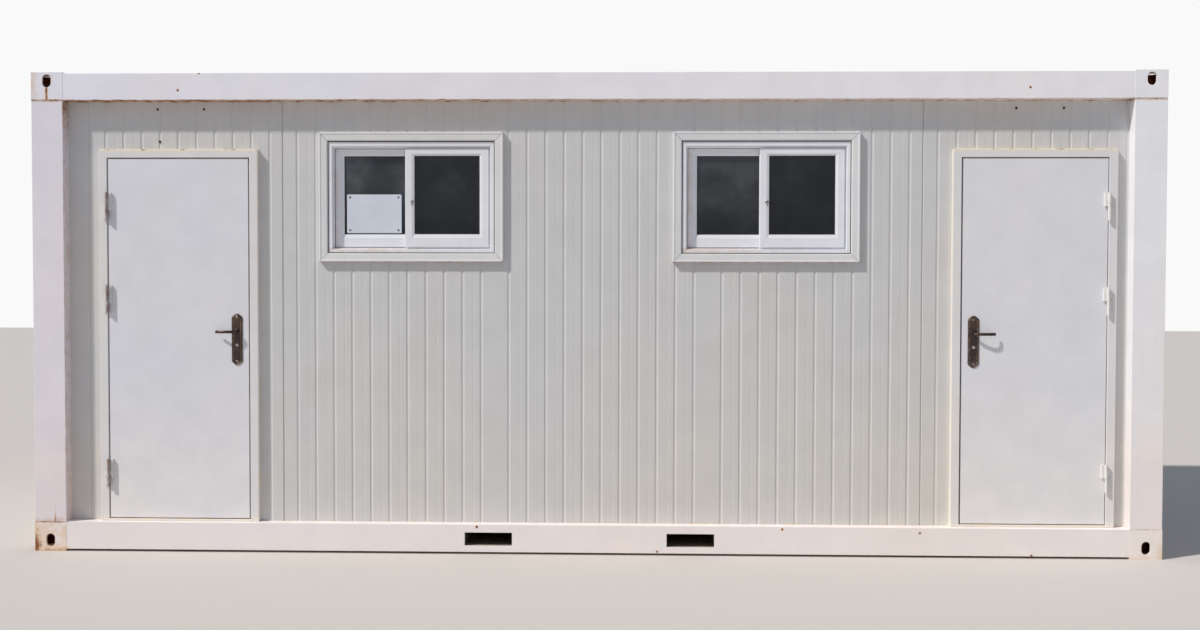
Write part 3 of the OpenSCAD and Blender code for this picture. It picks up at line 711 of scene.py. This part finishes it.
# The pale cream stain tone is partly yellow rust and partly a painted highlight.
DOOR_FRAME_PAINT = painted_steel("door_frame_paint", tone(232, 230, 232), tone(250, 240, 222), patches=0.2,
                                 streaks=0.3, splash_and_bounce=0.2, rusty=rust_and_highlight_on_door_frames,
                                 stain=tone(255, 240, 196))
for side in ("left", "right"):
    softened(side + "_door_frame", "door_frame_paint", DOOR_FRAME_PAINT, 0.003)

# Door leaves: two pressed steel skins over foam, folded together at the edges. The coat is
# smooth and nearly clean, with light scuffs low down, where it is also paler with painted warm light
# bounced up from the ground.


def rust_on_leaves(tree, x, y, z):
    """Along the leaf's lower edge only."""
    return ramp(tree, z, 0.190, 0.176, 0.0, 0.62)


# The pale dust tone low on the leaves is partly painted warm light bounced up from the ground.
LEAF_COAT = (tone(230, 231, 238), tone(232, 233, 238))
LEAF_PAINT = painted_steel("leaf_paint", LEAF_COAT, tone(252, 244, 236), patches=0.2, streaks=0.12,
                           splash_and_bounce=0.5, peel=0.5, rusty=rust_on_leaves)
for side in ("left", "right"):
    softened(side + "_door_leaf", "door_paint", LEAF_PAINT, 0.0025, 3)

# Lift-off hinges: turned barrels with straps welded to jamb and leaf. The coat has worn off the
# barrels with use and the bare steel has gone brown.


def wear_on_hinges(tree, x, y, z):
    """On the barrels, which lie where the pins and the sleeves overlap, but not on the straps
    that run from them to the jamb and the leaf. The left door's are worn the most."""
    barrels = []
    for side, share in (("left", 0.78), ("right", 0.36)):
        pins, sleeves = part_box(side + "_hinge_pins"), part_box(side + "_hinge_sleeves")
        low, high = max(pins[0].x, sleeves[0].x), min(pins[1].x, sleeves[1].x)
        aside = work(tree, "ABSOLUTE", work(tree, "SUBTRACT", x, (low + high) / 2))
        barrels.append(ramp(tree, aside, (high - low) * 0.45, (high - low) * 0.75, share, 0.10))
    return most(tree, *barrels)


HINGE_PAINT = painted_steel("hinge_paint", tone(238, 236, 234), tone(150, 128, 116), patches=0.2,
                            streaks=0.2, splash_and_bounce=0.0, rusty=wear_on_hinges, stain=tone(62, 44, 42))
for side in ("left", "right"):
    softened(side + "_hinge_pins", "hinge_paint", HINGE_PAINT, 0.0008)
    softened(side + "_hinge_sleeves", "hinge_paint", HINGE_PAINT, 0.0008)

# Handle plates: cast zinc with a dark bronze finish, pointed at both ends, with a raised rib
# inside the rim, held by two screws. The worn edges show lighter metal.


def make_bronze(name, dark, warm, rubbed, rub_from):
    """Dark brown metal, warmer in patches, with a lighter rub where noise lets it through."""
    material, tree, shader = fresh_material(name)
    place = put(tree, "TexCoord").outputs["Object"]
    patch = ramp(tree, cloud(tree, place, 26.0, 5.0), 0.35, 0.68)
    rub = ramp(tree, cloud(tree, place, 140.0, 4.0), rub_from, rub_from + 0.18, 0.0, 0.75)
    body = tint(tree, patch, dark, warm)
    tree.links.new(tint(tree, rub, body, rubbed), shader.inputs["Base Color"])
    tree.links.new(ramp(tree, patch, 0.0, 1.0, 0.34, 0.50), shader.inputs["Roughness"])
    add_relief(tree, shader, cloud(tree, place, 300.0, 3.0), 0.15, 0.0006)
    shader.inputs["Metallic"].default_value = 0.75
    return material


def make_bright_metal():
    """Nickelled metal with fine turning marks, for key cylinders and screws."""
    material, tree, shader = fresh_material("bright_nickel")
    place = put(tree, "TexCoord").outputs["Object"]
    smear = cloud(tree, place, 90.0, 4.0)
    tree.links.new(tint(tree, smear, tone(214, 210, 202), tone(188, 182, 172)), shader.inputs["Base Color"])
    tree.links.new(ramp(tree, smear, 0.3, 0.7, 0.18, 0.36), shader.inputs["Roughness"])
    shader.inputs["Metallic"].default_value = 1.0
    return material


BRONZE = make_bronze("dark_bronze", tone(70, 62, 60), tone(98, 76, 66), tone(150, 130, 114), 0.58)
RUBBED = make_bronze("rubbed_bronze", tone(112, 96, 88), tone(138, 114, 98), tone(208, 192, 174), 0.46)
BRIGHT = make_bright_metal()
LEAF_BOX = {side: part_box(side + "_door_leaf") for side in ("left", "right")}
PLATE_BOX = {side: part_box(side + "_handle_plates") for side in ("left", "right")}
LEVER_BOX = {side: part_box(side + "_lever") for side in ("left", "right")}
PLATE_THICK = 0.004
RIB = [(0.0, 0.0028), (0.0006, 0.0044), (0.0016, 0.0049), (0.0026, 0.0044), (0.0032, 0.0028), (0.0, 0.0028)]
COLLAR = [(0.003, 0.0165), (0.0060, 0.0165), (0.0072, 0.0150), (0.0074, 0.0130), (0.0066, 0.0120)]
CYLINDER = [(0.0, 0.0085), (0.0070, 0.0085), (0.0078, 0.0077), (0.0078, 0.0060), (0.0073, 0.0056)]
SCREW = [(0.0030, 0.0042), (0.0048, 0.0040), (0.0056, 0.0028), (0.0058, 0.0012)]
SCREW_FROM_MIDDLE = 0.118
LOCK_DROP = 0.072
LEVER_Z = (LEVER_BOX["left"][0].z + LEVER_BOX["left"][1].z) / 2


def plate_outline(inset):
    """The plate's outline, (across, up) from its middle, drawn in by inset: straight sides, a
    small step at the shoulder, then a straight run to a blunt point, the same at both ends."""
    half_wide, tip = 0.030 - inset, 0.140 - inset
    across = half_wide * np.array([1.0, 1.0, 0.90, 0.86, 0.42, 0.18, 0.0])
    lift = np.array([0.060, tip - 0.0205, tip - 0.0185, tip - 0.0150, tip - 0.0040, tip - 0.0008, tip])
    right_top = np.stack([across, lift], axis=-1)
    left_top = right_top[-2::-1] * [-1, 1]
    top = np.concatenate([right_top, left_top])
    return np.concatenate([top, -top])


def plate_surface(centre_x, face_y, outward, middle_z):
    """The plate's relief: rings of its outline drawn in step by step, each at its own height."""
    steps = [(0.0, 0.0), (0.0, 0.0020), (0.0012, 0.0036), (0.0040, 0.0040), (0.0052, 0.0018),
             (0.0078, 0.0018), (0.0094, 0.0036), (0.0130, 0.0040)]
    rings = []
    for inset, height in steps:
        outline = plate_outline(inset)
        y = np.full(len(outline), face_y + outward * height)
        rings.append(np.stack([centre_x + outline[:, 0], y, middle_z + outline[:, 1]], axis=-1))
    return tapered(np.array(rings))


def plate_ridge(centre_x, face_y, outward, middle_z, inset):
    """A raised rib that follows the plate's outline at inset: a small closed section, carried
    round through rings of the outline."""
    rings = []
    for across, height in RIB:
        outline = plate_outline(inset + across)
        y = np.full(len(outline), face_y + outward * height)
        rings.append(np.stack([centre_x + outline[:, 0], y, middle_z + outline[:, 1]], axis=-1))
    return tapered(np.array(rings), close_ends=False)


def turned(centre_x, centre_z, start_y, outward, profile, around=32):
    """A turned piece on an axis along Y: profile gives (distance from start_y, radius) pairs."""
    angle = np.linspace(0, 2 * math.pi, around, endpoint=False)
    rings = [np.stack([centre_x + r * np.cos(angle), np.full(around, start_y + outward * d),
                       centre_z + r * np.sin(angle)], axis=-1) for d, r in profile]
    return tapered(np.array(rings))


for side in ("left", "right"):
    low, high = PLATE_BOX[side]
    centre_x = (low.x + high.x) / 2
    plate_z = (low.z + high.z) / 2
    faces_out = ((LEAF_BOX[side][0].y, -1), (LEAF_BOX[side][1].y, 1))
    plates = [plate_surface(centre_x, y, out, plate_z) for y, out in faces_out]
    collars = [turned(centre_x, LEVER_Z, y, out, COLLAR) for y, out in faces_out]
    mesh = joined_mesh(side + "_plates", plates + collars)
    keep(side + "_plates_bronze", mesh, side + "_door", "bronze", BRONZE, side + "_handle_plates")
    ribs = [plate_ridge(centre_x, y, out, plate_z, inset)
            for y, out in faces_out for inset in (0.0018, 0.0085)]
    keep(side + "_plate_ribs", joined_mesh(side + "_ribs", ribs), side + "_door", "bronze", RUBBED)
    fittings = []
    for y, out in faces_out:
        fittings.append(turned(centre_x, LEVER_Z - LOCK_DROP, y, out, CYLINDER))
        for screw_z in (plate_z - SCREW_FROM_MIDDLE, plate_z + SCREW_FROM_MIDDLE):
            fittings.append(turned(centre_x, screw_z, y, out, SCREW, 20))
    mesh = joined_mesh(side + "_cylinders", fittings)
    keep(side + "_key_cylinders", mesh, side + "_door", "bronze", BRIGHT)

# Levers: cast bow handles on a spindle through the leaf, one to each face. They bow away from
# the plate, thin towards the tip and turn back to the door at the end.
LEVER_REACH = 0.110
LEVER_OUT = 0.024
LEVER_BOW = 0.014
LEVER_PLACES = [0, 0.2, 0.34, 0.7, 0.93, 1.0]
SPINDLE = [(0.0, 0.0075), (0.053, 0.0075)]


def lever_surface(spindle_x, towards, face_y, outward):
    """A tube of oval section along the lever's centre line. The line leaves the plate, turns
    through a quarter circle and runs along a shallow bow; its section is 16 mm high at the root,
    a little lower and much thinner in the middle and swells again at the tip."""
    turn = np.linspace(0, math.pi / 2, 9)
    bend = 0.011
    root_along = bend * (1 - np.cos(turn)) * 0.9
    root_out = LEVER_OUT - bend + bend * np.sin(turn)
    t = np.linspace(0.09, 1.0, 30)[1:]
    bow_along = LEVER_REACH * t
    swing = np.sin(math.pi * np.clip((t - 0.05) / 0.95, 0, 1))
    bow_out = LEVER_OUT + LEVER_BOW * 0.82 * swing - 0.006 * t ** 6
    along = np.concatenate([[0.0, 0.0], root_along, bow_along])
    out = np.concatenate([[0.0, 0.006], root_out, bow_out])
    share = np.linspace(0, 1, len(along))
    high = np.interp(share, LEVER_PLACES, [0.0080, 0.0080, 0.0080, 0.0077, 0.0080, 0.0076])
    deep = np.interp(share, LEVER_PLACES, [0.0085, 0.0078, 0.0060, 0.0048, 0.0054, 0.0050])
    slope = np.stack([np.gradient(along), np.gradient(out)], axis=-1)
    slope /= np.linalg.norm(slope, axis=1, keepdims=True)
    angle = np.linspace(0, 2 * math.pi, 20, endpoint=False)
    across = np.cos(angle)[None, :] * deep[:, None]
    u = along[:, None] - slope[:, 1:] * across
    v = out[:, None] + slope[:, :1] * across
    z = LEVER_Z + np.sin(angle)[None, :] * high[:, None]
    rings = np.stack([spindle_x + towards * u, face_y + outward * v, z], axis=-1)
    tip = rings[-1:].mean(axis=1, keepdims=True)
    caps = [tip + (rings[-1:] - tip) * size + [towards * LEVER_REACH * past, 0, 0]
            for size, past in ((0.86, 0.014), (0.5, 0.026))]
    return tapered(np.concatenate([rings, *caps]))


for side, towards in (("left", -1), ("right", 1)):
    centre_x = (PLATE_BOX[side][0].x + PLATE_BOX[side][1].x) / 2
    faces_out = ((LEAF_BOX[side][0].y - PLATE_THICK, -1), (LEAF_BOX[side][1].y + PLATE_THICK, 1))
    arms = [lever_surface(centre_x, towards, y, out) for y, out in faces_out]
    spindle = turned(centre_x, LEVER_Z, faces_out[0][0], 1, SPINDLE, 24)
    mesh = joined_mesh(side + "_lever_arms", arms + [spindle])
    keep(side + "_lever_bronze", mesh, side + "_handle", "bronze", BRONZE, side + "_lever")

# Window casings: folded steel strips mitred round the opening, stood off the wall, with a
# raised outer lip. The mitres are open by a hair and hold dirt.
CASING_WIDTH = 0.047
CASING_BACK = 0.005
CASING_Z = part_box("left_window_casing")[0].z


def mitred_frame(name, outer, widths, profile, gap=0.0004):
    """Four legs round a rectangle that meet on their mitres. outer is (x low, x high, z low,
    z high), widths are those of the left, right, bottom and top legs, and profile is a closed
    outline of (share across the leg from its outer edge, y). Each leg stops short by gap."""
    x0, x1, z0, z1 = outer
    share, depth = np.array(profile).T
    left, right = x0 + share * widths[0], x1 - share * widths[1]
    low, high = z0 + share * widths[2], z1 - share * widths[3]
    meets = ((left, low), (right, low), (right, high), (left, high))
    corners = [np.stack([x, depth, z], axis=-1) for x, z in meets]
    parts = []
    for first in range(4):
        start, end = corners[first], corners[(first + 1) % 4]
        run = (end - start) / np.linalg.norm(end - start, axis=1, keepdims=True)
        parts.append(tapered(np.array([start + run * gap, end - run * gap])))
    return joined_mesh(name, parts, 8)


def shade_under_casings(tree, x, y, z):
    """A thin dark brown line along the casings' lower outer edge: painted shade of the edge's underside."""
    return times(tree, near(tree, z, CASING_Z, 0.007), 0.80)


# The dark brown stain tone paints the shade under the casings' lower outer edge.
CASING_PAINT = painted_steel("casing_paint", tone(230, 230, 231), tone(220, 212, 198), patches=0.2,
                             streaks=0.2, splash_and_bounce=0.0, rusty=shade_under_casings, stain=tone(150, 124, 108))
for side in ("left", "right"):
    low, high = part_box(side + "_window_casing")
    y0, y1 = low.y + CASING_BACK, high.y
    edge = [(0.0, y1), (0.0, y0 + 0.004), (0.03, y0 + 0.0012), (0.08, y0), (0.19, y0), (0.24, y0 + 0.0016),
            (0.30, y0 + 0.0022), (0.90, y0 + 0.0032), (0.97, y0 + 0.005), (1.0, y0 + 0.009), (1.0, y1)]
    mesh = mitred_frame(side + "_casing", (low.x, high.x, low.z, high.z), [CASING_WIDTH] * 4, edge, 0.0011)
    keep(side + "_window_casing_strips", mesh, "cabin", "casing_paint", CASING_PAINT,
         side + "_window_casing")

# Window frames and sashes: extruded aluminium, powder coated white, mitred at the corners. Two
# sashes slide past each other, a rubber wedge holds each pane, and dust lies in the tracks; painted shade
# with dust tints the deeper sash's left stile tan.


def dust_and_shade_on_tracks(tree, x, y, z):
    """Dust in the bottom tracks, thickest at each window's left end, and painted shade with dust up the
    left stile of the deeper sash."""
    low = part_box("left_window_frame")[0]
    shares, ends = [], []
    for side in ("left", "right"):
        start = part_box(side + "_window_frame")[0].x
        shares.append(ramp(tree, x, start, start + 0.9, 0.66, 0.30))
        # Painted shade with dust: a tan tint on the left stile of each deeper sash.
        ends.append(near(tree, x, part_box(side + "_window_sashes")[0].x, 0.06))
    is_right = ramp(tree, x, -0.01, 0.01)
    is_left = work(tree, "SUBTRACT", 1.0, is_right)
    here = work(tree, "ADD", times(tree, shares[1], is_right), times(tree, shares[0], is_left))
    in_track = ramp(tree, z, low.z + 0.036, low.z + 0.028)
    deep = ramp(tree, y, low.y + 0.020, low.y + 0.026)
    return most(tree, times(tree, here, in_track), times(tree, most(tree, *ends), deep, 0.58))


def make_rubber(name, colour):
    """Matt rubber, a little paler where dust has settled."""
    material, tree, shader = fresh_material(name)
    place = put(tree, "TexCoord").outputs["Object"]
    dusty = ramp(tree, cloud(tree, place, 30.0, 5.0), 0.4, 0.8, 0.0, 0.35)
    tree.links.new(tint(tree, dusty, colour, tone(150, 142, 130)), shader.inputs["Base Color"])
    shader.inputs["Roughness"].default_value = 0.75
    return material


COATED_ALUMINIUM = painted_steel("coated_aluminium", tone(241, 243, 249), tone(206, 200, 190), patches=0.18,
                                 streaks=0.2, splash_and_bounce=0.0, peel=0.15, rusty=dust_and_shade_on_tracks,
                                 stain=tone(222, 196, 176))
BLACK_RUBBER = make_rubber("black_rubber", tone(38, 38, 40))
HOLE_TO_LIGHT = (0.0315, 0.0315, 0.0295, 0.0385)
SASH_LEGS = (0.052, 0.052, 0.074, 0.041)
SASH_DEPTH = 0.020
REAR_SASH_SHORT = 0.4005
FRONT_SASH_IN = 0.3855
for side in ("left", "right"):
    low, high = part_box(side + "_window_frame")
    y = low.y
    rim = [(0.0, high.y), (0.0, y + 0.014), (0.15, y + 0.014), (0.15, y + 0.001), (0.18, y), (0.70, y),
           (0.74, y + 0.002), (0.78, y + 0.003), (0.80, y + 0.005), (0.80, y + 0.022), (1.0, y + 0.022),
           (1.0, high.y)]
    outer = (low.x, high.x, low.z, high.z)
    mesh = mitred_frame(side + "_rim", outer, HOLE_TO_LIGHT, rim, 0.0003)
    node = side + "_window_frame"
    keep(side + "_window_frame_rims", mesh, "cabin", "window_aluminium", COATED_ALUMINIUM, node)
    # A black sealing strip between frame and casing; its black also stands in for the shade in that gap.
    sealant_and_gap_shade = [(0.0, y + 0.0139), (0.0, y + 0.0095), (0.5, y + 0.0110), (1.0, y + 0.0095), (1.0, y + 0.0139)]
    mesh = mitred_frame(side + "_bed", outer, [0.0046] * 4, sealant_and_gap_shade)
    keep(side + "_sealant_and_gap_shade", mesh, "cabin", None, BLACK_RUBBER)
    sash_low, sash_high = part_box(side + "_window_sashes")
    spans = ((sash_low.x, sash_high.x - REAR_SASH_SHORT, sash_high.y - SASH_DEPTH),
             (sash_low.x + FRONT_SASH_IN, sash_high.x, sash_low.y))
    rings, wedges = [], []
    for x0, x1, y in spans:
        back = y + SASH_DEPTH
        stile = [(0.0, back), (0.0, y + 0.012), (0.07, y + 0.012), (0.07, y + 0.001), (0.09, y), (0.74, y),
                 (0.80, y + 0.0015), (0.97, y + 0.004), (1.0, y + 0.0065), (1.0, back - 0.004), (0.9, back)]
        outer = (x0, x1, sash_low.z, sash_high.z)
        rings.append(mitred_frame(side + "_sash", outer, SASH_LEGS, stile, 0.0002))
        bead = [(0.0, y + 0.0071), (0.0, y + 0.0055), (0.7, y + 0.0050), (1.0, y + 0.0066),
                (1.0, y + 0.0071)]
        left, right, foot, head = SASH_LEGS
        light = (x0 + left, x1 - right, sash_low.z + foot, sash_high.z - head)
        wedges.append(mitred_frame(side + "_wedge", light, [0.004] * 4, bead))
    for index, (ring, wedge) in enumerate(zip(rings, wedges)):
        stands_for = [side + "_window_sashes"] if index == 0 else []
        keep(f"{side}_sash_{index}", ring, "cabin", "window_aluminium", COATED_ALUMINIUM, *stands_for)
        keep(f"{side}_wedge_{index}", wedge, "cabin", None, BLACK_RUBBER)

# Window panes: tinted float glass, bedded in the sashes' rubber, with a pale haze that is partly dust
# and partly a painted reflection of the sky.


def make_glass():
    """Tinted glass with a thin pale haze, partly dust and partly a painted reflection of the sky: paler
    towards the top and on the rear panes, which lie deeper, and a little rougher in smears."""
    material, tree, shader = fresh_material("pane_glass")
    place = put(tree, "TexCoord").outputs["Object"]
    x, y, z = put(tree, "SeparateXYZ", {0: place}).outputs
    smear = ramp(tree, cloud(tree, place, 3.0, 6.0), 0.35, 0.75)
    rear_pane = ramp(tree, y, LOW.y + 0.092, LOW.y + 0.100, 0.30, 1.0)
    # Paler towards the top: painted reflection of the sky, with some dust.
    high_up = ramp(tree, z, 1.72, 2.02, 0.35, 1.0)
    thick = work(tree, "MINIMUM", times(tree, rear_pane, high_up, work(tree, "ADD", smear, 0.45)), 1.0)
    dust_film_and_reflection = times(tree, thick, ramp(tree, x, -0.5, 0.5, 1.0, 0.75))
    tree.links.new(tint(tree, dust_film_and_reflection, tone(96, 94, 98), tone(232, 236, 242)), shader.inputs["Base Color"])
    tree.links.new(ramp(tree, smear, 0.0, 1.0, 0.01, 0.07), shader.inputs["Roughness"])
    shader.inputs["IOR"].default_value = 1.5
    shader.inputs["Transmission Weight"].default_value = 0.93
    return material


def repaint(node, material):
    """Gives a node that keeps its own mesh a better material."""
    node_object = frame["nodes"][node]
    node_object.data.materials.clear()
    node_object.data.materials.append(material)


PANE_GLASS = make_glass()
for side in ("left", "right"):
    repaint(side + "_window_glass", PANE_GLASS)

# Window latch: a cast pull screwed to the sliding sash where the two sashes meet.
PULL_BASE = [(0.0, 0.010), (0.0020, 0.010), (0.0032, 0.0085), (0.0034, 0.0050)]
PULL_IN = 0.040
PULL_DROP = 0.020
for side in ("left", "right"):
    sash_low, sash_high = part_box(side + "_window_sashes")
    pull_x = sash_low.x + FRONT_SASH_IN + PULL_IN
    pull_z = (sash_low.z + sash_high.z) / 2 - PULL_DROP
    base = turned(pull_x, pull_z, sash_low.y, -1, PULL_BASE, 24)
    t = np.linspace(0, 1, 14)
    angle = np.linspace(0, 2 * math.pi, 14, endpoint=False)
    half_wide = 0.0045 * (1 - 0.45 * t[:, None]) * np.cos(angle)
    half_deep = 0.0020 * np.sin(angle) * np.ones_like(t)[:, None]
    bowed = sash_low.y - 0.0046 + half_deep - 0.0010 * np.sin(math.pi * t)[:, None]
    fall = pull_z + 0.008 - 0.034 * t[:, None] + 0 * half_wide
    tongue = np.stack([pull_x + half_wide, bowed, fall], axis=-1)
    mesh = joined_mesh(side + "_latch", [base, tapered(tongue)])
    keep(side + "_window_latch", mesh, "cabin", None, BRIGHT)

# Notice card: a blank laminated sheet held on the left window's left pane by four putty pads.
CARD_SIZE = (0.298, 0.210)
CARD_MIDDLE = (-1.190, 1.836)
CARD_CURVE = 0.006
PANE_DEPTH = 0.006
PAD_FROM_MIDDLE = (0.132, 0.089)
PAD_SIZE = (0.012, 0.012)
PAD_CURVE = 0.005
SHEET_THICK = 0.0004


def make_card():
    """White laminated card, slightly blue, glossy, with faint waves."""
    material, tree, shader = fresh_material("laminated_card")
    place = put(tree, "TexCoord").outputs["Object"]
    wave = cloud(tree, place, 9.0, 2.0)
    tree.links.new(tint(tree, wave, tone(226, 232, 240), tone(208, 216, 230)), shader.inputs["Base Color"])
    add_relief(tree, shader, wave, 0.2, 0.004)
    shader.inputs["Roughness"].default_value = 0.22
    return material


def rounded_sheet(middle, size, curve, y, thick):
    """A flat sheet with rounded corners: its outline is four quarter circles of radius curve
    joined by straight lines, drawn at y and again at y + thick."""
    turn = np.linspace(0, math.pi / 2, 6)
    corners = []
    for quarter, (sign_x, sign_z) in enumerate(((1, 1), (-1, 1), (-1, -1), (1, -1))):
        centre = [middle[0] + sign_x * (size[0] / 2 - curve), middle[1] + sign_z * (size[1] / 2 - curve)]
        angle = turn + quarter * math.pi / 2
        corners.append(centre + curve * np.stack([np.cos(angle), np.sin(angle)], axis=-1))
    outline = np.concatenate(corners)
    rings = [np.stack([outline[:, 0], np.full(len(outline), place), outline[:, 1]], axis=-1)
             for place in (y, y + thick)]
    return tapered(np.array(rings))


card_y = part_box("left_window_glass")[1].y - PANE_DEPTH - 2 * SHEET_THICK
card = rounded_sheet(CARD_MIDDLE, CARD_SIZE, CARD_CURVE, card_y, SHEET_THICK)
keep("notice_card", joined_mesh("card", [card]), "cabin", None, make_card())
pads = []
for sign_x in (-1, 1):
    for sign_z in (-1, 1):
        pad_x = CARD_MIDDLE[0] + sign_x * PAD_FROM_MIDDLE[0]
        pad_z = CARD_MIDDLE[1] + sign_z * PAD_FROM_MIDDLE[1]
        pads.append(rounded_sheet((pad_x, pad_z), PAD_SIZE, PAD_CURVE, card_y - SHEET_THICK, SHEET_THICK))
keep("card_pads", joined_mesh("pads", pads), "cabin", None, make_rubber("grey_putty", tone(120, 116, 110)))

# Old fixings over the doors: capped screws left in the boards where a canopy once hung.
board_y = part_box("front_wall_middle")[0].y
LOWER_FIXING = (-2.356, 2.225)
CAP = [(0.0, 0.0070), (0.0030, 0.0070), (0.0030, 0.0048), (0.0052, 0.0044), (0.0058, 0.0030)]
caps = [turned(x, z, board_y + 0.002, -1, CAP, 12) for x, z in (*UPPER_FIXINGS, LOWER_FIXING)]
keep("old_fixings", joined_mesh("fixing_heads", caps), "cabin", None, BRONZE)

# Roof: one galvanised sheet that spans between the rails' lips, with low ribs across it that
# carry rain to the long sides. Dust and dried puddles lie on it.
RIB_PITCH = 0.190
RIB_HEIGHT = 0.004
LIP_WIDTH = 0.060


def rib_line(low, high):
    """Trapezium ribs between low and high: each has a foot, two shoulders and a foot again."""
    count = int((high - low) / RIB_PITCH)
    centres = (low + high) / 2 + RIB_PITCH * (np.arange(count) - (count - 1) / 2)
    places = (centres[:, None] + [-0.030, -0.018, 0.018, 0.030]).ravel()
    return places, np.tile([0.0, -RIB_HEIGHT, -RIB_HEIGHT, 0.0], count)


GALVANISED = painted_steel("galvanised_sheet", tone(176, 178, 180), tone(150, 140, 122), patches=1.0,
                           streaks=0.0, splash_and_bounce=0.0, peel=0.1)
low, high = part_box("roof_sheet")
places, lifts = rib_line(low.x + 0.10, high.x - 0.10)
along = np.concatenate([[low.x], places, [high.x]])
under_lip = low.y + LIP_WIDTH + 0.004
across = np.array([low.y, under_lip, -under_lip, high.y])
index = np.arange(len(along) * 4).reshape(len(along), 4)
u, v = np.meshgrid(along, across, indexing="ij")
rise = np.zeros_like(u)
rise[1:-1, 1:3] = -lifts[:, None]
upper = np.stack([u, v, high.z + rise], axis=-1).reshape(-1, 3)
lower = np.stack([u, v, low.z + rise], axis=-1).reshape(-1, 3)
count = len(upper)
cells = np.stack([index[:-1, :-1], index[1:, :-1], index[1:, 1:], index[:-1, 1:]], axis=-1).reshape(-1, 4)
rim = np.concatenate([index[:, 0], index[-1, 1:], index[-2::-1, -1], index[0, -2:0:-1]])
edge = np.stack([rim, np.roll(rim, -1), np.roll(rim, -1) + count, rim + count], axis=-1)
faces = np.concatenate([cells, cells[:, ::-1] + count, edge])
mesh = closed_mesh("roof_ribs", np.concatenate([upper, lower]), faces)
keep("roof_ribbed_sheet", mesh, "cabin", "roof_steel", GALVANISED, "roof_sheet")

# Floor and ceiling: coated plywood sheets screwed to the joists, and smooth white boards.


def make_floor_board():
    """Brown coated plywood with long grain, in sheets 1220 mm wide whose joints are dark."""
    material, tree, shader = fresh_material("coated_plywood")
    place = put(tree, "TexCoord").outputs["Object"]
    drawn = put(tree, "Mapping", {"Vector": place, "Scale": (0.6, 9.0, 9.0)}).outputs[0]
    grain = cloud(tree, drawn, 7.0, 8.0, 0.6)
    x = put(tree, "SeparateXYZ", {0: place}).outputs["X"]
    joint = near(tree, work(tree, "PINGPONG", x, 0.61), 0.0, 0.004)
    wood = tint(tree, grain, tone(96, 74, 56), tone(140, 112, 86))
    tree.links.new(tint(tree, joint, wood, tone(44, 36, 30)), shader.inputs["Base Color"])
    tree.links.new(ramp(tree, grain, 0.3, 0.7, 0.45, 0.65), shader.inputs["Roughness"])
    return material


CEILING_PAINT = painted_steel("ceiling_paint", tone(228, 228, 226), patches=0.15, streaks=0.0, splash_and_bounce=0.0,
                              peel=0.1)
repaint("floor_deck", make_floor_board())
repaint("ceiling_panel", CEILING_PAINT)
